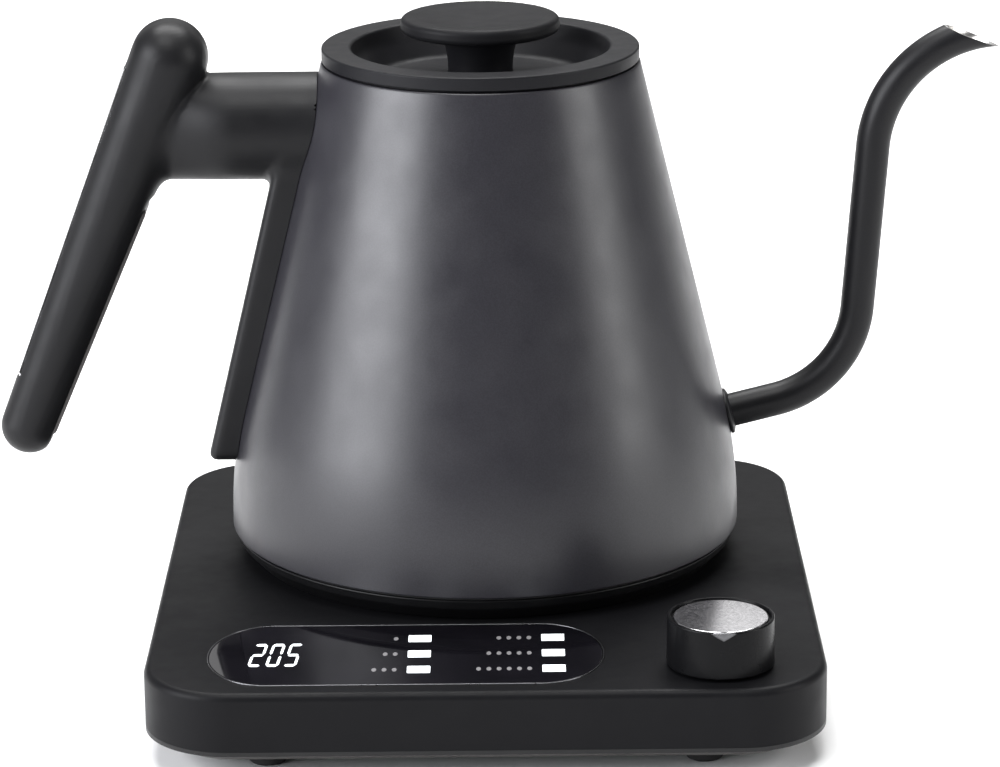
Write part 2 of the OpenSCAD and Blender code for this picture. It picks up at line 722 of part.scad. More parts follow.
// Threaded bosses welded inside the shell, which the handle's screws pull against
module handle_bosses() color("#b9b9bd") at_axis() for (z = boss_heights) difference() {
    rod_x(3.4, -cone_r(z) - 2, -cone_r(z) + 8, z);
    rod_x(bolt_r + gap, -cone_r(z) - 4, -cone_r(z) + 6, z);
    rotate_extrude($fn = 180) polygon(concat([[150, 20]],
        [for (p = shell_side(sheet_t + gap)) p], [[150, 190]]));
}

// ---------- lid ----------

module lid_dish() color("#232325") at_axis() difference() {
    rotate_extrude($fn = 144) polygon(concat(
        [[0, dish_low - lid_floor_t], [plug_r - 2, dish_low - lid_floor_t],
         [plug_r, dish_low - lid_floor_t + 2], [plug_r, dish_low + 0.6],
         [plug_r - 1.1, dish_low + 0.6], [plug_r - 1.1, dish_low + 3],
         [plug_r, dish_low + 3], [plug_r, flange_low], [mouth_r - 1.4, flange_low],
         [mouth_r - 1.4, flange_low + 0.6], [lid_r - 0.3, flange_low + 0.6]],
        arc([lid_r - 0.3, flange_low + 0.9], 0.3, -90, 0, 3),
        arc([lid_r - 0.5, lid_z - 0.5], 0.5, 0, 90, 4),
        arc([dish_r + 0.6, lid_z - 0.6], 0.6, 90, 170, 4),
        arc([dish_r - 5.6, dish_low + 2.2], 2.2, -10, -90, 6),
        [[0, dish_low]]));
    disc(1.7, dish_low - 3, dish_low + 1);
}

module lid_gasket() color("#c8c8c8") at_axis()
    ring(collar_r - 0.15, plug_r - 1.1 + gap, dish_low + 0.7, dish_low + 2.9);

module lid_stem() color("#1c1c1e") at_axis() difference() {
    rotate_extrude() polygon(concat([[0, dish_low + gap], [stem_low_r + 1, dish_low + gap]],
        [for (i = [0:8]) let (s = i / 8)
            [stem_low_r + (stem_top_r - stem_low_r) * s * s, dish_low + 0.8 + (knob_low_z - dish_low - 0.9) * s]],
        [[0, knob_low_z - 0.1]]));
    disc(1.6, 100, 180);
}

module lid_knob() color("#232325") at_axis() difference() {
    edge = 1.6;
    rotate_extrude($fn = 144) polygon(concat([[0, knob_low_z]],
        arc([lid_knob_r - edge, knob_low_z + edge], edge, -90, 0, 6),
        arc([lid_knob_r - edge, lid_knob_z - edge], edge, 0, 90, 6),
        [[lid_knob_r - 5, lid_knob_z - 0.1], [lid_knob_r - 10, lid_knob_z - 0.7],
         [0, lid_knob_z - 1]]));
    disc(1.5, 160, knob_low_z + 2.2);
}

module lid_inner_cap() color("#b9b9bd") at_axis() difference() {
    rotate_extrude() polygon([[0, dish_low - lid_floor_t - 1.1], [33, dish_low - lid_floor_t - 1.1],
        [34, dish_low - lid_floor_t - gap], [0, dish_low - lid_floor_t - gap]]);
    disc(1.7, 140, 160);
    round_copies(6, 22) disc(1.5, 140, 160);
}

module lid_screw() color("#b8b8b8") at_axis() {
    disc(1.45, dish_low - lid_floor_t - 2, knob_low_z + 2);
    disc(3.2, dish_low - lid_floor_t - 3, dish_low - lid_floor_t - 1.1 - gap);
}

base_top_cover();
base_bottom_cover();
base_feet();
base_screws();
display_window();
display_trim();
display_board();
digit_display();
indicator_leds();
power_board();
relay();
transformer();
filter_capacitor();
buzzer();
board_screws();
terminal_block();
mains_leads();
cord_gland();
encoder_body();
encoder_rotor();
encoder_shaft();
knob_body();
knob_cap();
connector_socket();
socket_contacts();
shutter_spring();
connector_shutter();
kettle_shell();
heater_plate();
heat_spreader();
heating_element();
element_terminals();
thermal_cutouts();
temperature_sensor();
sensor_seal();
control_housing();
connector_rings();
earth_pin();
skirt_seal();
base_skirt();
skirt_screws();
spout_tube();
spout_collar();
handle_spine();
handle_arm();
handle_grip();
handle_inner_cover();
handle_trim();
handle_bolt();
spine_screw();
handle_bosses();
lid_dish();
lid_gasket();
lid_stem();
lid_knob();
lid_inner_cap();
lid_screw();
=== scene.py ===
"""Electric gooseneck kettle on its power base: the looks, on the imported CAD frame.

Sizes are millimetres in the row frame until build() turns a form into metres.
"""

import json
import math

import bmesh
import bpy
import numpy as np
from mathutils import Matrix, Vector
from mathutils.geometry import tessellate_polygon


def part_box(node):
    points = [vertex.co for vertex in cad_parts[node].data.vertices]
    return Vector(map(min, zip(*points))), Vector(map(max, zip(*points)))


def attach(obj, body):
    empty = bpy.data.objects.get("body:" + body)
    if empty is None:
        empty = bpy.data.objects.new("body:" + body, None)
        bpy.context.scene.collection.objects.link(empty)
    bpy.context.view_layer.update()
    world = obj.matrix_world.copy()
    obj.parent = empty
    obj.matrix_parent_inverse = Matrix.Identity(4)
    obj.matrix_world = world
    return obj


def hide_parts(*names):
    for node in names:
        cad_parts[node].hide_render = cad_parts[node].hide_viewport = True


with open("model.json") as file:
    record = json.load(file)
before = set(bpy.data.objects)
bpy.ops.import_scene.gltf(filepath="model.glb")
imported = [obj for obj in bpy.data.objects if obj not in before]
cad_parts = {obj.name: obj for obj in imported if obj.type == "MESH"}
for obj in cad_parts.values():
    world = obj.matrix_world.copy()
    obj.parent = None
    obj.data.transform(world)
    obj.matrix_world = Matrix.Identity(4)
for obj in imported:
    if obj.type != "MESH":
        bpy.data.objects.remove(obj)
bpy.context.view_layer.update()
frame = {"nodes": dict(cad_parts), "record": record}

METRES = 0.001


# ---------- sizes, from the frame where it holds them ----------

def corners_mm(node):
    """Lowest and highest corner of a CAD node, in millimetres."""
    low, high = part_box(node)
    return np.array(low) / METRES, np.array(high) / METRES


def middle_mm(node):
    low, high = corners_mm(node)
    return (low + high) / 2


AXIS = middle_mm("connector_shutter")[:2]          # the kettle's vertical axis
COVER_LOW, COVER_HIGH = corners_mm("base_top_cover")
BASE_C = (COVER_LOW + COVER_HIGH)[:2] / 2
BASE_HALF = (COVER_HIGH - COVER_LOW)[:2] / 2
DECK_Z = COVER_HIGH[2]
BASE_R = 23  # corner radius in plan
FOOT_Z = corners_mm("base_bottom_cover")[0][2]           # underside of the lower cover

SHELL_LOW, SHELL_HIGH = corners_mm("kettle_shell")
BODY_R = (SHELL_HIGH[0] - SHELL_LOW[0]) / 2
SHELL_FOOT, SHELL_TOP = SHELL_LOW[2], SHELL_HIGH[2]
MOUTH_R = 43
CONE = math.radians(13.7)
BELLY_Z = 34
BELLY_R = (((SHELL_TOP - BELLY_Z) * math.tan(CONE) - (BODY_R - MOUTH_R))
           / (math.tan(CONE) * math.sin(CONE) - (1 - math.cos(CONE))))
SHEET = 0.8


def shell_r(z):
    """Outer radius of the kettle's shell at height z."""
    z = np.asarray(z, float)
    rise = np.clip(z - BELLY_Z, 0, BELLY_R * math.sin(CONE))
    belly = BODY_R - BELLY_R + np.sqrt(BELLY_R ** 2 - rise ** 2)
    cone = MOUTH_R + (SHELL_TOP - z) * math.tan(CONE)
    return np.where(z < BELLY_Z + BELLY_R * math.sin(CONE), belly, cone)


# ---------- outlines and forms ----------

def rounded(corners, closed=True, step=12):
    """Outline through corners (x, y, radius), each rounded by its radius, every step degrees."""
    out = []
    count = len(corners)
    for i, corner in enumerate(corners):
        here = np.array(corner[:2], float)
        radius = corner[2] if len(corner) > 2 else 0
        if radius == 0 or (not closed and i in (0, count - 1)):
            out.append(here)
            continue
        u = np.array(corners[i - 1][:2]) - here
        v = np.array(corners[(i + 1) % count][:2]) - here
        u, v = u / np.linalg.norm(u), v / np.linalg.norm(v)
        half = math.acos(np.clip(u @ v, -1, 1)) / 2
        centre = here + (u + v) / np.linalg.norm(u + v) * radius / math.sin(half)
        first = here + u * radius / math.tan(half) - centre
        last = here + v * radius / math.tan(half) - centre
        start = math.atan2(first[1], first[0])
        turn = (math.atan2(last[1], last[0]) - start + math.pi) % (2 * math.pi) - math.pi
        n = max(2, math.ceil(abs(math.degrees(turn)) / step))
        out += [centre + radius * np.array([math.cos(start + turn * k / n),
                                            math.sin(start + turn * k / n)])
                for k in range(n + 1)]
    return out


class Form:
    """Vertices and faces in millimetres; each face keeps the index of its material."""

    def __init__(self):
        self.verts, self.faces, self.slots = [], [], []

    def loop(self, points):
        start = len(self.verts)
        self.verts += [tuple(float(c) for c in p) for p in points]
        return list(range(start, len(self.verts)))

    def face(self, indices, slot=0):
        self.faces.append(list(indices))
        self.slots.append(slot)

    def skin(self, loops, slot=0, closed=False):
        """Faces between neighbouring loops; a loop of one point is a tip."""
        for a, b in zip(loops, loops[1:] + loops[:1] if closed else loops[1:]):
            for j in range(max(len(a), len(b))):
                k = (j + 1) % max(len(a), len(b))
                if len(a) == 1 and len(b) > 1:
                    self.face([a[0], b[k], b[j]], slot)
                elif len(b) == 1 and len(a) > 1:
                    self.face([a[j], a[k], b[0]], slot)
                elif len(a) > 1:
                    self.face([a[j], a[k], b[k], b[j]], slot)

    def cap(self, loops, slot=0):
        """Flat face inside the first loop, with the other loops as holes."""
        order = [i for loop in loops for i in loop]
        outlines = [[Vector(self.verts[i]) for i in loop] for loop in loops]
        for triangle in tessellate_polygon(outlines):
            self.face([order[i] for i in triangle], slot)

    def lathe(self, outline, centre=AXIS, sides=160, closed=True, slot=0):
        """Turns an outline of (radius, height) round the vertical line through centre."""
        loops = []
        for r, z in outline:
            if r < 1e-6:
                loops.append(self.loop([(centre[0], centre[1], z)]))
                continue
            loops.append(self.loop(circle(centre, r, z, sides)))
        self.skin(loops, slot, closed)
        return loops

    def turned(self, matrix):
        self.verts = [tuple(matrix @ Vector(v)) for v in self.verts]
        return self


def circle(centre, r, z, sides=64):
    """Points round a level circle."""
    angles = 2 * math.pi * np.arange(sides) / sides
    return [(centre[0] + r * math.cos(a), centre[1] + r * math.sin(a), z) for a in angles]


def to_object(name, form, materials):
    """A Blender object of the form, in metres, joined, outward and smooth between sharp edges."""
    mesh = bpy.data.meshes.new(name)
    mesh.from_pydata((np.array(form.verts) * METRES).tolist(), [], form.faces)
    mesh.polygons.foreach_set("material_index", form.slots)
    bm = bmesh.new()
    bm.from_mesh(mesh)
    bmesh.ops.remove_doubles(bm, verts=bm.verts, dist=2e-6)
    bmesh.ops.recalc_face_normals(bm, faces=bm.faces)
    bm.to_mesh(mesh)
    bm.free()
    mesh.shade_smooth()
    for material in materials:
        mesh.materials.append(material)
    piece = bpy.data.objects.new(name, mesh)
    bpy.context.scene.collection.objects.link(piece)
    return piece


def cut(piece, cutter):
    """Takes the cutter's shape out of the piece."""
    tool = to_object("cutter", cutter, [])
    hollow = piece.modifiers.new("cut", "BOOLEAN")
    hollow.object = tool
    hollow.solver = "EXACT"
    hollow.operation = "DIFFERENCE"
    graph = bpy.context.evaluated_depsgraph_get()
    shape = bpy.data.meshes.new_from_object(piece.evaluated_get(graph))
    piece.modifiers.clear()
    piece.data = shape
    shape.name = piece.name
    bpy.data.objects.remove(tool)


def finish_piece(piece, body, stands_for=(), sharp=32):
    """Sharp edges, even shading on flat faces, and the piece's place in the frame."""
    piece.data.set_sharp_from_angle(angle=math.radians(sharp))
    even = piece.modifiers.new("even_shading", "WEIGHTED_NORMAL")
    even.keep_sharp = True
    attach(piece, body)
    if stands_for:
        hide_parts(*stands_for)
    return piece


def build(name, form, materials, body, stands_for=(), sharp=32, cutters=()):
    piece = to_object(name, form, materials)
    for cutter in cutters:
        cut(piece, cutter)
    return finish_piece(piece, body, stands_for, sharp)


# ---------- materials ----------

class Paint:
    """A node material built on one Principled shader, textured in object coordinates."""

    def __init__(self, name, **shader):
        self.material = bpy.data.materials.new(name)
        self.material.use_nodes = True
        self.tree = self.material.node_tree
        self.shader = self.tree.nodes["Principled BSDF"]
        for socket, value in shader.items():
            self.shader.inputs[socket.replace("_", " ")].default_value = value
        self.place = self.add("ShaderNodeTexCoord").outputs["Object"]
        self.height = None

    def add(self, kind, **values):
        node = self.tree.nodes.new(kind)
        for key, value in values.items():
            setattr(node, key, value)
        return node

    def link(self, source, target):
        self.tree.links.new(source, target)

    def noise(self, per_metre, detail=2.0, rough=0.5, stretch=(1, 1, 1), place=None):
        """Noise with a stated number of grains per metre."""
        scale = self.add("ShaderNodeMapping")
        scale.inputs["Scale"].default_value = [per_metre * s for s in stretch]
        self.link(place or self.place, scale.inputs["Vector"])
        noise = self.add("ShaderNodeTexNoise")
        noise.inputs["Scale"].default_value = 1.0
        noise.inputs["Detail"].default_value = detail
        noise.inputs["Roughness"].default_value = rough
        self.link(scale.outputs["Vector"], noise.inputs["Vector"])
        return noise.outputs["Fac"]

    def spread(self, source, low, high, at=(0.3, 0.7)):
        """Maps the middle of a noise onto low to high."""
        spread = self.add("ShaderNodeMapRange")
        for socket, value in zip(("From Min", "From Max", "To Min", "To Max"), (*at, low, high)):
            spread.inputs[socket].default_value = value
        self.link(source, spread.inputs["Value"])
        return spread.outputs["Result"]

    def colour(self, source, dark, light, at=(0.3, 0.7), socket="Base Color"):
        """A colour that runs from dark to light with the source."""
        ramp = self.add("ShaderNodeValToRGB")
        for stop, place, shade in zip(ramp.color_ramp.elements, at, (dark, light)):
            stop.position = place
            stop.color = (*shade, 1)
        self.link(source, ramp.inputs["Fac"])
        self.link(ramp.outputs["Color"], self.shader.inputs[socket])

    def roughness(self, source, low, high, at=(0.3, 0.7)):
        self.link(self.spread(source, low, high, at), self.shader.inputs["Roughness"])

    def bump(self, source, depth_mm, strength=1.0):
        """Adds relief of the stated depth, on top of any relief made before."""
        bump = self.add("ShaderNodeBump")
        bump.inputs["Distance"].default_value = depth_mm * METRES
        bump.inputs["Strength"].default_value = strength
        self.link(source, bump.inputs["Height"])
        if self.height:
            self.link(self.height, bump.inputs["Normal"])
        self.height = bump.outputs["Normal"]
        self.link(self.height, self.shader.inputs["Normal"])


def scaled(colour, factor):
    return tuple(min(1.0, c * factor) for c in colour)


def plastic(name, colour, rough, grain_mm=0.35, depth=0.006, vary=0.12, specular=0.5):
    """Moulded plastic: fine grain in the surface, faint flow marks in colour and gloss."""
    paint = Paint(name, Specular_IOR_Level=specular)
    flow = paint.noise(45, detail=3)
    paint.colour(flow, scaled(colour, 1 - vary), scaled(colour, 1 + vary))
    paint.roughness(paint.noise(140, detail=4), rough - 0.05, rough + 0.05)
    paint.bump(paint.noise(1000 / grain_mm, detail=2), depth)
    return paint


def coated_metal(name, colour, rough, specular=0.5, speck=0.35):
    """Powder coat: orange peel, and tiny light and dark grains in the colour."""
    paint = Paint(name, Specular_IOR_Level=specular)
    grains = paint.noise(2600, detail=1)
    paint.colour(grains, scaled(colour, 1 - speck), scaled(colour, 1 + speck), at=(0.35, 0.65))
    paint.roughness(paint.noise(90, detail=4), rough - 0.04, rough + 0.04)
    paint.bump(paint.noise(420, detail=2), 0.012)
    paint.bump(paint.noise(2200, detail=1), 0.006)
    return paint


def bare_metal(name, colour, rough, stretch=(1, 1, 1), per_metre=900, depth=0.002, vary=0.08):
    """Metal with fine brushed lines along the directions in which stretch is small."""
    paint = Paint(name, Metallic=1.0)
    lines = paint.noise(per_metre, detail=4, stretch=stretch)
    paint.colour(lines, scaled(colour, 1 - vary), scaled(colour, 1 + vary))
    paint.roughness(paint.noise(120, detail=3), rough - 0.05, rough + 0.06)
    paint.bump(lines, depth)
    return paint


def rubber(name, colour, rough=0.75):
    paint = Paint(name, Specular_IOR_Level=0.35)
    paint.colour(paint.noise(300, detail=4), scaled(colour, 0.8), scaled(colour, 1.3))
    paint.roughness(paint.noise(500, detail=3), rough - 0.06, rough + 0.06)
    paint.bump(paint.noise(1800, detail=3), 0.01)
    return paint


def arm_grain(paint):
    """A slightly coarser moulded grain, as on the handle."""
    paint.bump(paint.noise(1500, detail=2), 0.012)
    return paint


def spun_cap(name, colour):
    """Metal disc turned on a lathe: fine rings round the knob's middle."""
    paint = Paint(name, Metallic=1.0)
    middle = middle_mm("knob_cap") * METRES
    shift = paint.add("ShaderNodeVectorMath", operation="SUBTRACT")
    shift.inputs[1].default_value = middle
    paint.link(paint.place, shift.inputs[0])
    reach = paint.add("ShaderNodeVectorMath", operation="LENGTH")
    paint.link(shift.outputs["Vector"], reach.inputs[0])
    rings = paint.add("ShaderNodeTexNoise", noise_dimensions="1D")
    rings.inputs["Scale"].default_value = 2600
    rings.inputs["Detail"].default_value = 3
    paint.link(reach.outputs["Value"], rings.inputs["W"])
    paint.colour(rings.outputs["Fac"], scaled(colour, 0.94), scaled(colour, 1.05))
    paint.roughness(paint.noise(1500, detail=2), 0.14, 0.24)
    paint.bump(rings.outputs["Fac"], 0.0015)
    paint.bump(paint.noise(900, detail=2), 0.004)
    return paint


def circuit_board(name, colour):
    """Solder mask with copper tracks showing through as a lighter green."""
    paint = Paint(name, Roughness=0.3)
    tracks = paint.add("ShaderNodeTexBrick")
    tracks.inputs["Scale"].default_value = 120
    tracks.inputs["Mortar Size"].default_value = 0.03
    tracks.inputs["Color1"].default_value = (*colour, 1)
    tracks.inputs["Color2"].default_value = (*scaled(colour, 0.8), 1)
    tracks.inputs["Mortar"].default_value = (*scaled(colour, 1.8), 1)
    paint.link(paint.place, tracks.inputs["Vector"])
    paint.link(tracks.outputs["Color"], paint.shader.inputs["Base Color"])
    paint.bump(tracks.outputs["Fac"], 0.03)
    return paint


def lit(name, colour, glow):
    """White light behind a printed mask, faintly uneven."""
    paint = Paint(name, Roughness=0.35, Emission_Strength=glow)
    patches = paint.noise(250, detail=2)
    paint.colour(patches, scaled(colour, 0.92), colour)
    paint.colour(patches, scaled(colour, 0.9), colour, at=(0, 1), socket="Emission Color")
    return paint


def silicone(name, colour):
    paint = Paint(name, Subsurface_Weight=0.4, Subsurface_Scale=0.002)
    paint.colour(paint.noise(200, detail=3), scaled(colour, 0.9), scaled(colour, 1.08))
    paint.roughness(paint.noise(400, detail=2), 0.38, 0.5)
    paint.bump(paint.noise(900, detail=2), 0.006)
    return paint


def window_gloss(name):
    """Smoked glass over a black mask: deep gloss, faint smears in the polish."""
    paint = Paint(name, Specular_IOR_Level=0.18, Coat_Weight=0.1, Coat_Roughness=0.02)
    paint.colour(paint.noise(60, detail=3), (0.0035, 0.0033, 0.0045), (0.006, 0.0055, 0.0075))
    paint.roughness(paint.noise(35, detail=5), 0.03, 0.09)
    paint.bump(paint.noise(70, detail=2), 0.002)
    return paint


def wires(name):
    """Three insulation colours, told apart across the row of leads."""
    paint = Paint(name, Roughness=0.45)
    low, high = (c * METRES for c in corners_mm("mains_leads"))
    split = paint.add("ShaderNodeSeparateXYZ")
    paint.link(paint.place, split.inputs["Vector"])
    across = paint.spread(split.outputs["X"], 0, 1, at=(low[0], high[0]))
    ramp = paint.add("ShaderNodeValToRGB")
    ramp.color_ramp.interpolation = "CONSTANT"
    shades = ((0, (0.02, 0.09, 0.35)), (0.34, (0.16, 0.07, 0.03)), (0.67, (0.09, 0.25, 0.03)))
    ramp.color_ramp.elements.new(0.5)
    for stop, (where, shade) in zip(ramp.color_ramp.elements, shades):
        stop.position = where
        stop.color = (*shade, 1)
    paint.link(across, ramp.inputs["Fac"])
    paint.link(ramp.outputs["Color"], paint.shader.inputs["Base Color"])
    paint.bump(paint.noise(800, detail=2), 0.01)
    return paint


STEEL = (0.55, 0.54, 0.53)
ZINC = (0.48, 0.48, 0.49)
BRASS = (0.72, 0.50, 0.20)

FINISH = {
    "cover_plastic": plastic("cover_plastic", (0.0055, 0.0055, 0.0063), 0.46, vary=0.04,
                             specular=0.1),
    "under_plastic": plastic("under_plastic", (0.007, 0.007, 0.0075), 0.4, specular=0.3),
    "skirt_plastic": plastic("skirt_plastic", (0.004, 0.004, 0.0045), 0.42, specular=0.2),
    "shell_paint": coated_metal("shell_paint", (0.016, 0.0155, 0.0195), 0.37, speck=0.2),
    "spout_paint": coated_metal("spout_paint", (0.006, 0.006, 0.007), 0.42, speck=0.2,
                                specular=0.22),
    "handle_plastic": arm_grain(plastic("handle_plastic", (0.008, 0.008, 0.0088), 0.44,
                                        specular=0.18)),
    # The inner strip's lighter brownish grey is a painted reflection of the pale backdrop at a grazing
    # angle.
    "inner_strip": plastic("inner_strip", (0.05, 0.044, 0.042), 0.5, depth=0.012),
    "bright_trim": bare_metal("bright_trim", (0.72, 0.72, 0.74), 0.12, per_metre=500),
    "lid_plastic": plastic("lid_plastic", (0.008, 0.008, 0.0095), 0.46, specular=0.13),
    "lid_knob_plastic": plastic("lid_knob_plastic", (0.008, 0.008, 0.009), 0.5, depth=0.01,
                                specular=0.09),
    "knob_plastic": plastic("knob_plastic", (0.004, 0.004, 0.0045), 0.3, depth=0.003,
                            specular=0.1),
    "knob_metal": spun_cap("knob_metal", (0.72, 0.71, 0.73)),
    "window_black": window_gloss("window_black"),
    "readout": lit("readout", (0.93, 0.97, 1.0), 1.3),
    "black_rubber": rubber("black_rubber", (0.018, 0.018, 0.018)),
    "clear_silicone": silicone("clear_silicone", (0.45, 0.45, 0.45)),
    "stainless": bare_metal("stainless", STEEL, 0.28, stretch=(0.05, 1, 1), depth=0.003),
    "zinc_steel": bare_metal("zinc_steel", ZINC, 0.3, per_metre=600),
    "cast_alloy": bare_metal("cast_alloy", (0.5, 0.5, 0.51), 0.5, per_metre=700, depth=0.02),
    "element_sheath": bare_metal("element_sheath", (0.3, 0.3, 0.31), 0.5, depth=0.01),
    "contact_brass": bare_metal("contact_brass", BRASS, 0.26),
    "circuit_board": circuit_board("circuit_board", (0.02, 0.13, 0.05)),
    "relay_case": plastic("relay_case", (0.02, 0.09, 0.32), 0.35),
    "winding_tape": plastic("winding_tape", (0.55, 0.38, 0.04), 0.45, grain_mm=1.2, depth=0.03),
    "part_black": plastic("part_black", (0.015, 0.015, 0.017), 0.32),
    "terminal_green": plastic("terminal_green", (0.03, 0.2, 0.08), 0.45),
    "wire_cover": wires("wire_cover"),
    "encoder_case": bare_metal("encoder_case", ZINC, 0.34, stretch=(1, 0.06, 1)),
    "connector_plastic": plastic("connector_plastic", (0.012, 0.012, 0.013), 0.42),
    "control_plastic": plastic("control_plastic", (0.62, 0.56, 0.47), 0.5, depth=0.012),
}
PRINT = lit("printed_marks", (0.23, 0.225, 0.23), 0.02).material
FRAME_METAL = bare_metal("frame_metal", (0.2, 0.2, 0.21), 0.3, per_metre=500).material
POINTER_METAL = bare_metal("pointer_metal", (0.12, 0.12, 0.125), 0.28, per_metre=800).material
# Lighter grey-brown for the base's lower slope: a painted reflection of the white floor, lighter than
# the plastic's own black.
FLOOR_REFLECTION_PLASTIC = plastic("slope_floor_reflection", (0.085, 0.08, 0.077), 0.4, specular=0.4).material
LIP_STEEL = bare_metal("polished_lip", (0.78, 0.77, 0.76), 0.28, per_metre=700).material


def coat(slot):
    return FINISH[slot].material


# ---------- power base ----------

def base_loop(form, inset, z, corner_sides=24):
    """The base's rounded rectangle, drawn inwards by inset."""
    r = max(BASE_R - inset, 0.4)
    half = BASE_HALF - inset - r
    points = []
    for i, (sx, sy) in enumerate(((1, 1), (-1, 1), (-1, -1), (1, -1))):
        for k in range(corner_sides + 1):
            a = math.pi / 2 * (i + k / corner_sides)
            points.append((BASE_C[0] + sx * half[0] + r * math.cos(a),
                           BASE_C[1] + sy * half[1] + r * math.sin(a), z))
    return form.loop(points)


WINDOW_LOW, WINDOW_HIGH = corners_mm("display_window")
WINDOW_C = (WINDOW_LOW + WINDOW_HIGH)[:2] / 2
WINDOW_HALF = (WINDOW_HIGH - WINDOW_LOW)[:2] / 2
WINDOW_END = 16  # length of each half-ellipse end
TRIM_W = 0.36  # breadth of the window's frame
TRIM_Z = corners_mm("display_trim")[1][2]
HUB_R = 15.4
SHAFT_HOLE_R = 3.6
KNOB_C = middle_mm("knob_cap")[:2]
SCREWS = [BASE_C + np.array([sx * 74, sy * 62]) for sx in (-1, 1) for sy in (-1, 1)]
GLAND = middle_mm("cord_gland")


def window_loop(form, grow, z, sides=40):
    """The display's outline: straight sides and half-ellipse ends, drawn outwards by grow."""
    straight = WINDOW_HALF[0] - WINDOW_END
    rx, ry = WINDOW_END + grow, WINDOW_HALF[1] + grow
    points = []
    for side, start in ((1, -math.pi / 2), (-1, math.pi / 2)):
        for k in range(sides + 1):
            a = start + math.pi * k / sides
            points.append((WINDOW_C[0] + side * straight + rx * math.cos(a),
                           WINDOW_C[1] + ry * math.sin(a), z))
    return form.loop(points)


def cord_hole():
    """Round hole through both covers, for the cord's gland."""
    form = Form()
    hole_r, sides = 5.6, 48
    back = BASE_C[1] + BASE_HALF[1]
    loops = [form.loop([(GLAND[0] + hole_r * math.cos(a), y, GLAND[2] + hole_r * math.sin(a))
                        for a in 2 * math.pi * np.arange(sides) / sides])
             for y in (back - 22, back + 5)]
    form.skin(loops)
    form.cap([loops[0]])
    form.cap([loops[1]])
    return form


def top_cover():
    """Deck with rounded edge, side wall down to the seam, and the display's pocket."""
    form = Form()
    deck_t, wall_t = 2.4, 2.2
    deck_under = DECK_Z - deck_t
    side = rounded([(3.2, DECK_Z), (0, DECK_Z, 2.1), (0, COVER_LOW[2], 0.15),
                    (wall_t, COVER_LOW[2]), (wall_t, deck_under), (4, deck_under)], closed=False, step=9)
    loops = [base_loop(form, inset, z) for inset, z in side]
    form.skin(loops)
    edge = 0.4
    hub = [form.loop(circle(AXIS, HUB_R + r, z, 96)) for r, z in
           ((0.15 + edge, DECK_Z), (0.15, DECK_Z - edge), (0.15, deck_under))]
    shaft = [form.loop(circle(KNOB_C, SHAFT_HOLE_R, z)) for z in (DECK_Z, deck_under)]
    pocket = [window_loop(form, TRIM_W + 0.05, z) for z in (DECK_Z, DECK_Z - 1.75)]
    for wall in (hub, shaft, pocket):
        form.skin(wall)
    form.cap([pocket[1]])
    form.cap([loops[0], hub[0], shaft[0], pocket[0]])
    form.cap([loops[-1], hub[-1], shaft[-1]])
    build("base_deck", form, [coat("cover_plastic")], "power_base", ["base_top_cover"],
          cutters=[cord_hole()])


def bottom_cover():
    """Lower band, the slope that runs in under it, and the flat underside with its screw wells."""
    form = Form()
    band_top, slope_top, slope_in = COVER_LOW[2] - 0.2, 10.5, 8.5
    outline = rounded([(14, FOOT_Z), (slope_in, FOOT_Z, 2.5), (0, slope_top, 1.2),
                       (0, band_top, 0.25), (2.4, band_top), (2.4, 15.2), (6, 15.2)],
                      closed=False, step=9)
    loops = [base_loop(form, inset, z) for inset, z in outline]
    form.skin(loops)
    form.cap([loops[-1]])
    wells = []
    for centre in SCREWS:
        well = [form.loop(circle(centre, r, z, 40)) for r, z in
                ((3.6, FOOT_Z), (3.3, FOOT_Z + 0.3), (3.3, 6.6))]
        form.skin(well)
        form.cap([well[-1]])
        wells.append(well[0])
    form.cap([loops[0]] + wells)
    cover = build("base_underbody", form, [coat("under_plastic"), FLOOR_REFLECTION_PLASTIC], "power_base",
                  ["base_bottom_cover"], cutters=[cord_hole()])
    # Down-facing faces on the slope take the painted floor reflection.
    for face in cover.data.polygons:
        if FOOT_Z < face.center.z / METRES < slope_top and face.normal.z < -0.1:
            face.material_index = 1


def feet():
    """Four soft pads with a rounded lower edge and a shallow dish."""
    low, high = corners_mm("base_feet")
    r = 5
    form = Form()
    for x in (low[0] + r, high[0] - r):
        for y in (low[1] + r, high[1] - r):
            form.lathe(rounded([(0, 0.5), (r - 2.2, 0.5, 0.3), (r - 1.6, 0, 0.3), (r, 0, 0.8),
                                (r - 0.3, high[2], 0.2), (0, high[2])], closed=False),
                       (x, y), 48, closed=False)
    build("foot_pads", form, [coat("black_rubber")], "power_base", ["base_feet"])


def display():
    """Glossy window and its thin bright frame; digits() and lamps() add the digits, the lamps and the
    plain marks beside them.
    """
    low, top = WINDOW_LOW[2], WINDOW_HIGH[2]
    form = Form()
    outline = rounded([(-3, low), (0, low), (0, top, 0.3), (-3, top)], closed=False)
    loops = [window_loop(form, grow, z) for grow, z in outline]
    form.skin(loops)
    form.cap([loops[0]])
    form.cap([loops[-1]])
    build("window_pane", form, [coat("window_black")], "power_base", ["display_window"])
    form = Form()
    frame_outline = rounded([(0.05, low + 0.4), (TRIM_W, low + 0.4), (TRIM_W, TRIM_Z, 0.1),
                             (0.05, TRIM_Z, 0.1)])
    form.skin([window_loop(form, grow, z) for grow, z in frame_outline], closed=True)
    build("window_frame", form, [FRAME_METAL], "power_base", ["display_trim"])


# Which of the seven bars each digit lights, named as on any seven-bar display
DIGIT_BARS = {"2": "abged", "0": "abcdef", "5": "afgcd"}


def lit_plate(form, outline, top):
    """Thin plate that lies in the window with its face just proud of it."""
    low = form.loop([(x, y, top - 0.12) for x, y in outline])
    high = form.loop([(x, y, top) for x, y in outline])
    form.skin([low, high])
    form.cap([high])
    form.cap([low])


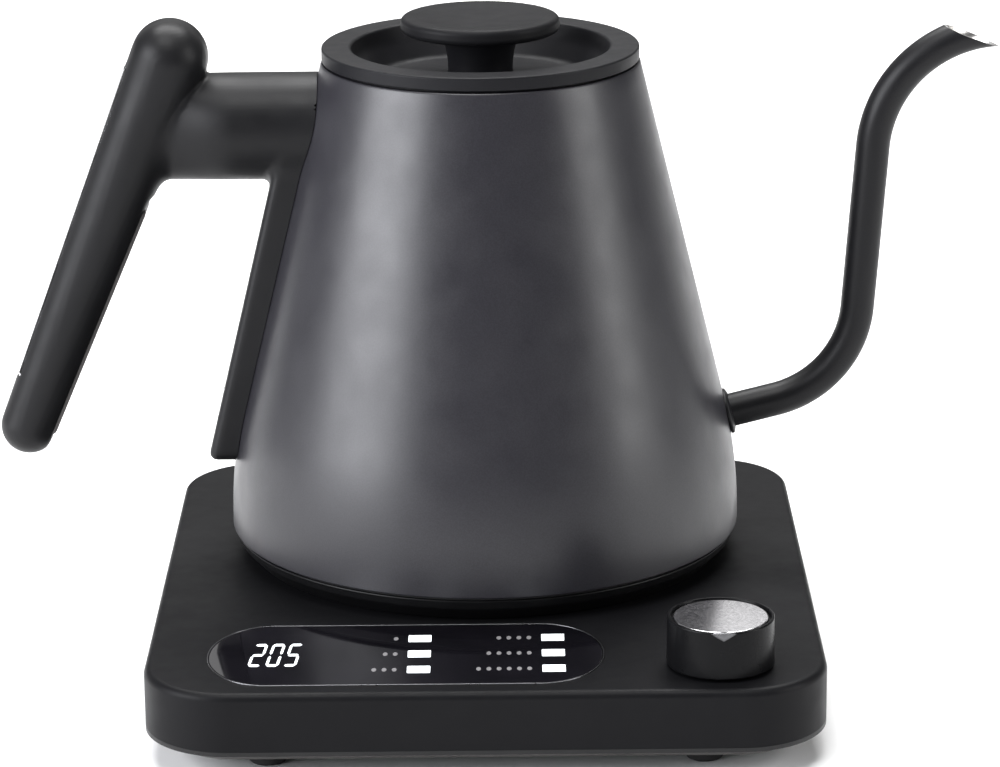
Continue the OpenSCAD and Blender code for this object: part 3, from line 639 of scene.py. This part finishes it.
def digits():
    """The reading, in slanted seven-bar digits that are stretched front to back."""
    top = WINDOW_HIGH[2] + 0.03
    centre = (middle_mm("digit_display")[0], WINDOW_C[1])
    wide, deep, pitch, slant = 3.35, 16.4, 4.55, 0.19
    bar_w, bar_d = 0.66, 1.6  # breadth of upright and of level bars
    form = Form()
    for place, digit in enumerate("205"):
        for bar in DIGIT_BARS[digit]:
            if bar in "agd":
                y = {"a": deep / 2, "g": 0, "d": -deep / 2}[bar]
                y -= math.copysign(bar_d / 2, y) if y else 0
                x0, x1, tip = -wide / 2 + 0.28, wide / 2 - 0.28, 0.45
                outline = [(x0, y), (x0 + tip, y + bar_d / 2), (x1 - tip, y + bar_d / 2),
                           (x1, y), (x1 - tip, y - bar_d / 2), (x0 + tip, y - bar_d / 2)]
            else:
                x = (wide - bar_w) / 2 * (1 if bar in "bc" else -1)
                y0, y1 = (0.55, deep / 2 - 0.75) if bar in "bf" else (-deep / 2 + 0.75, -0.55)
                tip = 0.9
                outline = [(x, y0), (x + bar_w / 2, y0 + tip), (x + bar_w / 2, y1 - tip),
                           (x, y1), (x - bar_w / 2, y1 - tip), (x - bar_w / 2, y0 + tip)]
            lit_plate(form, [(centre[0] + (place - 1) * pitch + x + slant * y * 0.42,
                              centre[1] + y) for x, y in outline], top)
    build("digits", form, [coat("readout")], "power_base", ["digit_display"])


def rounded_plate(centre, size, r=0.3):
    x, y = size[0] / 2, size[1] / 2
    outline = rounded([(-x, -y, r), (x, -y, r), (x, y, r), (-x, y, r)])
    return [(centre[0] + p[0], centre[1] + p[1]) for p in outline]


def lamps():
    """Six white bars, each with a row of dots beside it that counts the programs."""
    top = WINDOW_HIGH[2] + 0.03
    low, high = corners_mm("indicator_leds")
    bars, marks = Form(), Form()
    columns = (low[0] + 3.2, high[0] - 3.2)
    for column, x in enumerate(columns):
        for row in range(3):
            y = WINDOW_C[1] + 11.2 * (1 - row)
            lit_plate(bars, rounded_plate((x, y), (5.9, 4.9)), top)
            for dot in range(3 * column + row + 1):
                centre = (x - 6.2 - 2.6 * dot, y)
                disc = [(centre[0] + 0.62 * math.cos(a), centre[1] + 1.25 * math.sin(a))
                        for a in 2 * math.pi * np.arange(20) / 20]
                lit_plate(marks, disc, top)
    build("lamp_bars", bars, [coat("readout")], "power_base", ["indicator_leds"])
    build("program_dots", marks, [PRINT], "power_base")


def knob():
    """Black turned grip, recessed metal cap and a small diamond pointer over the front edge."""
    low, high = corners_mm("knob_body")
    cap_low, cap_high = corners_mm("knob_cap")
    cap_r = (cap_high[0] - cap_low[0]) / 2
    r, z0, z1 = (high[0] - low[0]) / 2, low[2], cap_high[2] + 0.3
    form = Form()
    form.lathe(rounded([(0, z0 + 2), (r - 1.6, z0 + 2), (r - 1.6, z0, 0.3), (r, z0, 0.45),
                        (r - 0.12, z1, 0.4), (r - 0.95, z1, 0.25), (r - 1.15, z1 - 1.0, 0.1),
                        (r - 2.4, z1 - 1.0), (0, z1 - 1.0)], closed=False, step=10),
               KNOB_C, 144, closed=False)
    build("knob_grip", form, [coat("knob_plastic")], "knob", ["knob_body"])
    disc = Form()
    disc.lathe(rounded([(0, cap_low[2]), (cap_r, cap_low[2], 0.1), (cap_r, cap_high[2], 0.42),
                        (0, cap_high[2])], closed=False, step=8), KNOB_C, 144, closed=False)
    build("knob_disc", disc, [coat("knob_metal")], "knob", ["knob_cap"])
    # The pointer follows the rim: each ring of its diamond lies on the rim's rounded profile
    pointer = Form()
    half_w, fold = 3.3, 12  # half its breadth, points on each side
    loops = []
    for grow, lift in ((1.0, -0.25), (1.0, 0.0), (0.82, 0.18), (0.6, 0.18)):
        loop = []
        for k in range(4 * fold):
            side, t = divmod(k / fold, 1)
            ends = ((1, 0), (0, 1), (-1, 0), (0, -1), (1, 0))
            a, b = ends[int(side)], ends[int(side) + 1]
            across = (a[0] + (b[0] - a[0]) * t) * half_w * grow
            down = (a[1] + (b[1] - a[1]) * t) * grow
            reach, height = rim_point(r, z1, down)
            turn = across / r
            reach += lift
            loop.append((KNOB_C[0] + reach * math.sin(turn), KNOB_C[1] - reach * math.cos(turn),
                         height + lift))
        loops.append(pointer.loop(loop))
    pointer.skin(loops)
    pointer.cap([loops[0]])
    pointer.cap([loops[-1]])
    build("knob_pointer", pointer, [POINTER_METAL], "knob", sharp=20)


def rim_point(r, top, down):
    """Radius and height on the knob's rim: down runs from -1 on its top to 1 below the edge."""
    if down < 0:
        return r - 0.25 + 0.95 * down, top - 0.02
    return r - 0.06, top - 0.25 - 1.9 * down


# ---------- kettle body ----------

def side_points(inset, z0, z1, steps=36):
    """Points up the shell's side, drawn inwards by inset."""
    heights = np.linspace(z0, z1, steps)
    return [(float(shell_r(z)) - inset, z) for z in heights]


LOW_BEND = dict(r=29.4, x=73.3, z=93.4)
HIGH_BEND = dict(r=34.5, x=140.5, z=133.7)
SPOUT_R, SPOUT_BORE = 4.6, 3.8
SPOUT_RISE = math.radians(14)
MOUTH_SLOPE = math.radians(21.7)
MOUTH_HEADING = math.radians(2)
# Where the tube's centre line leaves the body, as reach from the axis and height
SPOUT_ROOT = np.array([LOW_BEND["x"] + LOW_BEND["r"] * math.sin(SPOUT_RISE),
                       LOW_BEND["z"] - LOW_BEND["r"] * math.cos(SPOUT_RISE)])
COLLAR_BACK = -15.5  # from that root, back along the tube


def shell():
    """Powder-coated body with a rolled mouth, and the hole where the spout joins it."""
    form = Form()
    collar, collar_low = 37.9, 155  # radius and lower end of the turned-in mouth
    outside = side_points(0, SHELL_FOOT + 0.35, SHELL_TOP - 0.5)
    inside = side_points(SHEET, SHELL_FOOT + 0.35, SHELL_TOP - SHEET - 0.2)
    outline = ([(BODY_R - 0.25, SHELL_FOOT)] + outside + [(MOUTH_R - 0.35, SHELL_TOP)]
               + rounded([(MOUTH_R - 1, SHELL_TOP), (collar, SHELL_TOP, 0.7), (collar, collar_low),
                          (collar + SHEET, collar_low), (collar + SHEET, SHELL_TOP - SHEET)],
                         closed=False)
               + inside[::-1] + [(BODY_R - SHEET + 0.2, SHELL_FOOT)])
    form.lathe(outline, sides=256)
    hole = Form()
    hole.lathe([(0, -16), (SPOUT_BORE, -16), (SPOUT_BORE, 6), (0, 6)], (0, 0), 48, closed=False)
    hole.turned(at_spout_root())
    build("kettle_body", form, [coat("shell_paint")], "kettle", ["kettle_shell"],
          cutters=[hole])


def at_spout_root():
    """Places local +Z along the spout where it leaves the body."""
    place = Matrix.Translation((AXIS[0] + SPOUT_ROOT[0], AXIS[1], SPOUT_ROOT[1]))
    return place @ Matrix.Rotation(math.pi / 2 - SPOUT_RISE, 4, "Y")


def skirt():
    """Plastic ring under the shell: drawn in at the seam and tapering to the deck."""
    z0 = corners_mm("base_skirt")[0][2]
    top = 31.4  # just under the seam
    form = Form()
    form.lathe(rounded([
        (17.6, 27.4, 0.4), (61.6, 27.4, 0.6), (61.6, z0, 0.4), (64.6, z0, 0.8),
        (BODY_R - 1.5, top - 2.4, 1.5), (BODY_R - 0.8, top, 0.35), (66.2, top), (66.2, 36.2, 0.3),
        (64.5, 36.2, 0.3), (64.5, 29.2), (17.6, 29.2, 0.4)]), sides=256)
    wells, posts = [], Form()
    screw_ring, first_turn = 57, 30  # the three screws' radius and first angle
    for k in range(3):
        a = math.radians(first_turn + 120 * k)
        centre = (AXIS[0] + screw_ring * math.cos(a), AXIS[1] + screw_ring * math.sin(a))
        well = Form()
        well.lathe([(0, 20), (3.2, 20), (3.2, 31), (0, 31)], centre, 40, closed=False)
        wells.append(well)
        posts.lathe([(0, 28), (4.6, 28), (4.6, 41.1), (0, 41.1)], centre, 40, closed=False)
    build("skirt_ring", form, [coat("skirt_plastic")], "kettle", ["base_skirt"],
          cutters=wells)
    build("skirt_posts", posts, [coat("skirt_plastic")], "kettle")
    seal = Form()
    seal.lathe(rounded([(66.5, 31.45), (68.7, 31.45, 0.25), (68.7, 32.15, 0.25), (66.5, 32.15)]),
               sides=256)
    build("seal_ring", seal, [coat("black_rubber")], "kettle", ["skirt_seal"])


def spout_lines(r, sides, inside):
    """Loops of points up the tube; each lengthwise line ends on the shell and on the slanted mouth."""
    gap = (HIGH_BEND["x"] - LOW_BEND["x"], HIGH_BEND["z"] - LOW_BEND["z"])
    lean = (math.acos((LOW_BEND["r"] + HIGH_BEND["r"]) / math.hypot(*gap))
            - math.atan2(gap[1], gap[0]))
    steep = math.pi / 2 - lean
    reach = HIGH_BEND["r"] - SPOUT_R
    plane = reach * math.cos(MOUTH_HEADING + MOUTH_SLOPE)
    lines = []
    for j in range(sides):
        a = 2 * math.pi * j / sides
        rise, y = r * math.cos(a), r * math.sin(a)
        along = np.array([math.cos(SPOUT_RISE), math.sin(SPOUT_RISE)])
        start = SPOUT_ROOT + rise * np.array([-math.sin(SPOUT_RISE), math.cos(SPOUT_RISE)])
        back, front = 0.0, 25.0
        for _ in range(40):
            test = (back + front) / 2
            p = start - test * along
            outside = math.hypot(p[0], y) > float(shell_r(p[1])) - inside
            back, front = (test, front) if outside else (back, test)
        line = [start - back * (1 - t) * along for t in (0, 0.5)]
        for h in np.linspace(SPOUT_RISE, steep, 30):
            line.append(np.array([LOW_BEND["x"] + (LOW_BEND["r"] - rise) * math.sin(h),
                                  LOW_BEND["z"] - (LOW_BEND["r"] - rise) * math.cos(h)]))
        bend = HIGH_BEND["r"] + rise
        end = math.acos(plane / bend) - MOUTH_SLOPE
        for h in np.linspace(steep, end, 36):
            line.append(np.array([HIGH_BEND["x"] - bend * math.sin(h),
                                  HIGH_BEND["z"] + bend * math.cos(h)]))
        lines.append([(AXIS[0] + p[0], AXIS[1] + y, p[1]) for p in line])
    return [list(loop) for loop in zip(*lines)]


def spout():
    """Gooseneck tube, coated outside, bare and polished on the lip and in the bore."""
    form = Form()
    sides = 64
    outer = [form.loop(p) for p in spout_lines(SPOUT_R, sides, 0.4)]
    inner = [form.loop(p) for p in spout_lines(SPOUT_BORE, sides, 0.7)]
    form.skin(outer, 0)
    form.skin(inner, 1)
    form.skin([outer[-1], inner[-1]], 1)
    form.skin([outer[0], inner[0]], 0)
    build("spout", form, [coat("spout_paint"), LIP_STEEL], "kettle", ["spout_tube"],
          sharp=50)
    collar = Form()
    back = -7.5
    collar.lathe(rounded([(4.6, back), (6.0, back), (6.0, 0.9, 0.35), (5.6, 1.0, 0.2),
                          (5.6, 1.5, 0.2), (6.35, 1.6, 0.3), (6.35, 2.5, 0.45),
                          (5.0, 3.1, 0.3), (4.55, 3.1)], step=15),
                 (0, 0), 80)
    collar.turned(at_spout_root() @ Matrix.Translation((0, 0, COLLAR_BACK)))
    build("spout_washers", collar, [coat("spout_paint")], "kettle", ["spout_collar"])


# ---------- handle ----------

GRIP_TOP = np.array([-83.8, 162.4])
GRIP_TOP_R, GRIP_LOW_R = 10.4, 7.8
GRIP_LOW = np.array([-(133.2 - GRIP_LOW_R), 60.3])
GRIP_HALF_FLAT = 2.5
GRIP_LEN = float(np.linalg.norm(GRIP_TOP - GRIP_LOW))
GRIP_UP = (GRIP_TOP - GRIP_LOW) / GRIP_LEN  # along the grip
GRIP_IN = np.array([GRIP_UP[1], -GRIP_UP[0]])  # across it, towards the kettle
FLAT_SINK = 0.75
ARM_R, ARM_Z = 14.5, 143.6
SPINE_PROUD, SPINE_HALF_W = 6.3, 12
SPINE_LOW = corners_mm("handle_spine")[0][2]


def soft_min(a, b, k):
    """Union with a fillet of about k."""
    h = np.maximum(k - np.abs(a - b), 0) / k
    return np.minimum(a, b) - h * h * k / 4


def soft_max(a, b, k):
    return -soft_min(-a, -b, k)


def round_cone(p, a, b, ra, rb):
    """Distance to the hull of two balls."""
    ba = b - a
    length2 = ba @ ba
    fall = ra - rb
    slope2 = length2 - fall * fall
    pa = p - a
    y = pa @ ba
    z = y - length2
    x2 = ((pa * length2 - y[:, None] * ba) ** 2).sum(1)
    y2, z2 = y * y * length2, z * z * length2
    k = np.sign(fall) * fall * fall * x2
    side = (np.sqrt(x2 * slope2 / length2) + y * fall) / length2 - ra
    low = np.sqrt(x2 + y2) / length2 - ra
    high = np.sqrt(x2 + z2) / length2 - rb
    return np.where(np.sign(z) * slope2 * z2 > k, high,
                    np.where(np.sign(y) * slope2 * y2 < k, low, side))


def along_grip(x, z):
    """Distance up the grip's centre line and across it towards the kettle."""
    dx, dz = x - GRIP_LOW[0], z - GRIP_LOW[1]
    return dx * GRIP_UP[0] + dz * GRIP_UP[1], dx * GRIP_IN[0] + dz * GRIP_IN[1]


def grip_r(up):
    """Radius of the grip at a distance up its centre line."""
    return GRIP_LOW_R + (GRIP_TOP_R - GRIP_LOW_R) * up / GRIP_LEN


def off_shell(p):
    """Distance outside the kettle's shell, for points relative to its axis."""
    return (np.hypot(p[:, 0], p[:, 1]) - shell_r(p[:, 2])) * math.cos(CONE)


def handle_form(p):
    """Signed distance to the whole moulding: grip, arm and spine, before it meets the shell."""
    x, y, z = p.T
    squeezed = p.copy()
    squeezed[:, 1] -= np.clip(y, -GRIP_HALF_FLAT, GRIP_HALF_FLAT)
    grip = round_cone(squeezed, np.array([GRIP_LOW[0], 0, GRIP_LOW[1]]),
                      np.array([GRIP_TOP[0], 0, GRIP_TOP[1]]), GRIP_LOW_R, GRIP_TOP_R)
    # The arm narrows front to back where it runs into the grip
    ease = np.clip((x + 88) / 22, 0, 1)
    half_depth = 9.6 + (ARM_R - 9.6) * ease * ease * (3 - 2 * ease)
    ring = np.hypot(y / half_depth, (z - ARM_Z) / ARM_R)
    arm = (ring - 1) * np.minimum(half_depth, ARM_R)
    arm = np.maximum(arm, -90.5 - x)
    fillet = np.clip((ARM_Z + 6 - z) / 12, 0, 1)
    body = soft_min(grip, arm, 1.2 + 1.6 * fillet)
    # Flat inner face, up to the flare under the arm
    up, across = along_grip(x, z)
    beyond = across - (grip_r(up) - FLAT_SINK)
    flare = ARM_Z - ARM_R - 2.4 + 0.26 * (x - GRIP_LOW[0] - 44)
    below = z - np.minimum(flare, ARM_Z - ARM_R - 0.8)
    body = soft_max(body, -soft_max(-beyond, below, 1.0), 1.0)
    # Spine down the shell, with rounded outer edges
    outer = (-x - (MOUTH_R + (SHELL_TOP - z) * math.tan(CONE)) - SPINE_PROUD) * math.cos(CONE)
    r = 2.6
    q = np.stack([outer + r, np.abs(y) - SPINE_HALF_W + r, SPINE_LOW - z + r])
    spine = (np.sqrt((np.maximum(q, 0) ** 2).sum(0)) - r
             + np.minimum(q.max(0), 0))
    spine = np.maximum(spine, z - ARM_Z)
    return soft_min(body, spine, 2.6)


def surface_net(field, low, high, cell):
    """Points and quads on the surface where field is zero, inside the box from low to high."""
    counts = np.ceil((high - low) / cell).astype(int) + 1
    ticks = [low[i] + cell * np.arange(counts[i]) for i in range(3)]
    grid = np.stack(np.meshgrid(*ticks, indexing="ij"), -1)
    value = field(grid.reshape(-1, 3)).reshape(counts)
    cells = tuple(counts - 1)
    total, hits = np.zeros(cells + (3,)), np.zeros(cells)
    crossings = []
    for axis in range(3):
        a = np.moveaxis(value, axis, 0)
        crossing = np.moveaxis((a[:-1] < 0) != (a[1:] < 0), 0, axis)
        step = np.moveaxis(a[:-1] / np.where(a[:-1] == a[1:], 1, a[:-1] - a[1:]), 0, axis)
        short = [slice(0, n) for n in counts]
        short[axis] = slice(0, counts[axis] - 1)
        point = grid[tuple(short)].copy()
        point[..., axis] += np.where(crossing, step, 0) * cell
        u, v = [i for i in range(3) if i != axis]
        for du in (0, 1):
            for dv in (0, 1):
                part = [slice(None)] * 3
                part[u] = slice(du, du + cells[u])
                part[v] = slice(dv, dv + cells[v])
                on = crossing[tuple(part)]
                total += on[..., None] * point[tuple(part)]
                hits += on
        crossings.append(crossing)
    active = hits > 0
    number = np.full(cells, -1)
    number[active] = np.arange(active.sum())
    points = total[active] / hits[active][:, None]
    quads = []
    for axis in range(3):
        u, v = [i for i in range(3) if i != axis]
        at = np.argwhere(crossings[axis])
        corner = []
        for du, dv in ((1, 1), (0, 1), (0, 0), (1, 0)):
            where = at.copy()
            where[:, u] -= du
            where[:, v] -= dv
            corner.append(number[tuple(where.T)])
        quads.append(np.stack(corner, 1))
    return points, np.concatenate(quads)


def settle(points, field, steps=5):
    """Moves points onto the surface where field is zero."""
    tiny = 0.01
    for _ in range(steps):
        d = field(points)
        g = np.stack([(field(points + e) - field(points - e)) / (2 * tiny)
                      for e in np.eye(3) * tiny], 1)
        move = d[:, None] * g / np.maximum((g * g).sum(1), 0.05)[:, None]
        size = np.linalg.norm(move, axis=1)
        points = points - move * np.minimum(1, 0.5 / np.maximum(size, 1e-9))[:, None]
    return points


def settle_edge(points, first, second, steps=6):
    """Moves points onto the line where both fields are zero."""
    tiny = 0.01
    for _ in range(steps):
        error = np.stack([first(points), second(points)], 1)
        slopes = np.stack([np.stack([(f(points + e) - f(points - e)) / (2 * tiny)
                                     for e in np.eye(3) * tiny], 1) for f in (first, second)], 1)
        move = np.einsum("nij,nj->ni", np.linalg.pinv(slopes), error)
        size = np.linalg.norm(move, axis=1)
        points = points - move * np.minimum(1, 0.6 / np.maximum(size, 1e-9))[:, None]
    return points


def handle():
    """One moulding for grip, arm and spine, its edge crisp where it meets the shell."""
    gap = 0.22  # clear of the shell

    def meets_shell(p):
        return gap - off_shell(p)

    def whole(p):
        return np.maximum(handle_form(p), meets_shell(p))

    cell = 0.8
    low, high = np.array([-136.0, -16.5, 47.5]), np.array([-40.0, 16.5, 175.0])
    points, quads = surface_net(whole, low, high, cell)
    points = settle(points, whole)
    near = ((np.abs(handle_form(points)) < 0.7 * cell)
            & (np.abs(meets_shell(points)) < 0.7 * cell))
    points[near] = settle_edge(points[near], handle_form, meets_shell)
    form = Form()
    form.loop(points + np.array([*AXIS, 0]))
    for quad in quads.tolist():
        form.face(quad)
    build("handle_moulding", form, [coat("handle_plastic")], "kettle",
          ["handle_spine", "handle_arm", "handle_grip"], sharp=60)


def grip_point(up, out, y):
    """Row-frame point from distance up the grip, across it (kettle side positive) and y."""
    x, z = GRIP_LOW + GRIP_UP * up + GRIP_IN * out
    return (AXIS[0] + x, AXIS[1] + y, z)


def grip_strips():
    """Bright strip let into the outer face and a satin one on the flat inner face."""
    form = Form()
    half_w = 6.3
    loops = []
    for up, lift in ((13.05, -0.2), (13.4, 0.1), (14.2, 0.28), (103.8, 0.28), (104.6, 0.1),
                     (104.95, -0.2)):
        outer, inner = [], []
        for y in np.linspace(-half_w, half_w, 25):
            bulge = math.sqrt(grip_r(up) ** 2 - max(abs(y) - GRIP_HALF_FLAT, 0) ** 2)
            edge = min(1.0, (half_w - abs(y)) / 0.5)
            outer.append(grip_point(up, -(bulge + lift * math.sqrt(edge) - 0.12 * (1 - edge)), y))
            inner.append(grip_point(up, -(bulge - 0.9), y))
        loops.append(form.loop(outer + inner[::-1]))
    form.skin(loops)
    form.cap([loops[0]])
    form.cap([loops[-1]])
    build("grip_trim", form, [coat("bright_trim")], "kettle", ["handle_trim"])
    # The inlay's brownish grey colour is a painted reflection, not the plastic's own tone.
    strip = Form()
    loops = []
    for up, trim in ((1.0, 0.6), (1.5, 0.2), (2.4, 0.0), (68.4, 0.0), (69.5, 0.2), (70.0, 0.6)):
        base = grip_r(up) - FLAT_SINK
        ring = rounded([(-6.9 + trim, -0.5), (6.9 - trim, -0.5), (6.9 - trim, 0.4 - trim, 0.2),
                        (-6.9 + trim, 0.4 - trim, 0.2)], step=20)
        loops.append(strip.loop([grip_point(up, base + out, y) for y, out in ring]))
    strip.skin(loops)
    strip.cap([loops[0]])
    strip.cap([loops[-1]])
    build("grip_inlay", strip, [coat("inner_strip")], "kettle", ["handle_inner_cover"])


# ---------- lid ----------

def lid():
    """Flanged dish, flared stem and round knob with a shallow hollow on top."""
    low, high = corners_mm("lid_dish")
    rim_r, rim_z = (high[0] - low[0]) / 2, high[2]
    rim_low = SHELL_TOP + 0.65
    floor = rim_z - 9.5
    form = Form()
    form.lathe(rounded([
        (0, floor - 1.5), (34.9, floor - 1.5, 1.0), (36.9, floor + 0.5, 0.3),
        (35.8, floor + 0.6), (35.8, floor + 3.0), (36.9, floor + 3.0),
        (36.9, SHELL_TOP + 0.05), (41.2, SHELL_TOP + 0.05), (41.2, rim_low),
        (rim_r, rim_low, 0.35), (rim_r, rim_z, 0.55), (35.0, rim_z, 1.1),
        (33.6, floor + 5.5, 9), (29.4, floor, 3.0), (0, floor)], closed=False, step=7),
        sides=224, closed=False)
    build("lid_bowl", form, [coat("lid_plastic")], "lid", ["lid_dish"])

    knob_low, knob_high = corners_mm("lid_knob")
    r, z0, z1 = (knob_high[0] - knob_low[0]) / 2, knob_low[2], knob_high[2]
    stem = Form()
    stem.lathe([(0, floor + 0.02), (10.6, floor + 0.02), (9.6, floor + 0.5), (9.0, floor + 1.4),
                (8.7, floor + 3.0), (8.8, floor + 5.5), (9.2, floor + 8.0), (9.9, z0 - 2.2),
                (10.8, z0 - 0.7), (11.6, z0 - 0.05), (0, z0 - 0.05)], sides=128, closed=False)
    build("lid_post", stem, [coat("lid_plastic")], "lid", ["lid_stem"], sharp=40)
    button = Form()
    button.lathe(rounded([
        (0, z0), (r, z0, 1.7), (r, z1, 1.6), (r - 4.2, z1, 4.0), (r - 9.5, z1 - 0.75, 12),
        (0, z1 - 1.0)], closed=False, step=5), sides=192, closed=False)
    build("lid_button", button, [coat("lid_knob_plastic")], "lid", ["lid_knob"],
          sharp=40)

    seal = Form()
    g0, g1 = corners_mm("lid_gasket")
    seal_r = (g1[0] - g0[0]) / 2
    seal.lathe(rounded([(35.85, g0[2], 0.3), (36.7, g0[2], 0.3), (seal_r, (g0[2] + g1[2]) / 2, 0.4),
                        (36.7, g1[2], 0.3), (35.85, g1[2], 0.3)]), sides=192)
    build("lid_seal", seal, [coat("clear_silicone")], "lid", ["lid_gasket"])


# ---------- CAD nodes that stay, with the finish of their slot ----------

def coat_cad_nodes():
    for part in frame["record"]["subparts"]:
        node = frame["nodes"][part["node"]]
        node.data.materials.clear()
        node.data.materials.append(coat(part["material_slot"]))


# ---------- camera, light, floor ----------

def camera():
    """The photograph's viewpoint: in front, a little above, through a long lens."""
    pitch, roll = math.radians(16.77), math.radians(-0.55)
    forward = Vector((0, math.cos(pitch), -math.sin(pitch)))
    level_up = Vector((0, math.sin(pitch), math.cos(pitch)))
    right = Vector((1, 0, 0)) * math.cos(roll) + level_up * math.sin(roll)
    up = level_up * math.cos(roll) - Vector((1, 0, 0)) * math.sin(roll)
    data = bpy.data.cameras.new("camera")
    data.sensor_width = 36
    data.lens = 141.6
    data.clip_start, data.clip_end = 0.02, 30
    view = bpy.data.objects.new("camera", data)
    place = Matrix((right, up, -forward)).transposed().to_4x4()
    place.translation = Vector((AXIS[0] + 4.43, AXIS[1] - 1039.1, 383.2)) * METRES
    view.matrix_world = place
    bpy.context.scene.collection.objects.link(view)
    bpy.context.scene.camera = view


def lamp(name, place, aim, size, power, colour=(1, 1, 1)):
    """Soft box of size (width, height) at place, facing aim, all in metres."""
    data = bpy.data.lights.new(name, "AREA")
    data.shape = "RECTANGLE"
    data.size, data.size_y = size
    data.energy = power
    data.color = colour
    box = bpy.data.objects.new(name, data)
    box.location = place
    direction = Vector(aim) - Vector(place)
    box.rotation_euler = direction.to_track_quat("-Z", "Y").to_euler()
    bpy.context.scene.collection.objects.link(box)


def studio():
    """Pale floor, soft boxes left, right, overhead and above the front, two cards behind, dim room."""
    form = Form()
    floor_r = 6000
    form.cap([form.loop(circle((0, 0), floor_r, 0, 96))])
    paper = Paint("paper", Roughness=0.9, Specular_IOR_Level=0.1)
    paper.colour(paper.noise(3, detail=2), (0.84, 0.84, 0.84), (0.87, 0.87, 0.87))
    to_object("floor", form, [paper.material])
    middle = (0, 0, 0.1)
    lamp("key_left", (-1.45, -0.76, 0.66), middle, (1.25, 1.1), 52, (0.95, 0.96, 1.0))
    lamp("fill_right", (1.6, -0.43, 0.66), middle, (0.6, 1.1), 15)
    lamp("overhead", (0, 0.9, 1.7), (0, 0.7, 0), (1.6, 1.2), 58)
    lamp("card_low_left", (-1.3, 1.5, 0.2), middle, (0.5, 0.4), 0.8)
    lamp("top_front", (-0.2, -0.5, 1.6), middle, (0.9, 0.5), 16)
    lamp("card_behind", (0, 1.7, 0.70), (0, 0, 0.05), (2.6, 0.3), 2.6)
    world = bpy.data.worlds.new("room")
    world.use_nodes = True
    room = world.node_tree.nodes["Background"].inputs
    room["Color"].default_value = (1, 1, 1, 1)
    room["Strength"].default_value = 0.06
    bpy.context.scene.world = world
    bpy.context.scene.view_settings.view_transform = "Standard"


camera()
studio()
coat_cad_nodes()
top_cover()
bottom_cover()
feet()
display()
digits()
lamps()
knob()
shell()
skirt()
spout()
handle()
grip_strips()
lid()
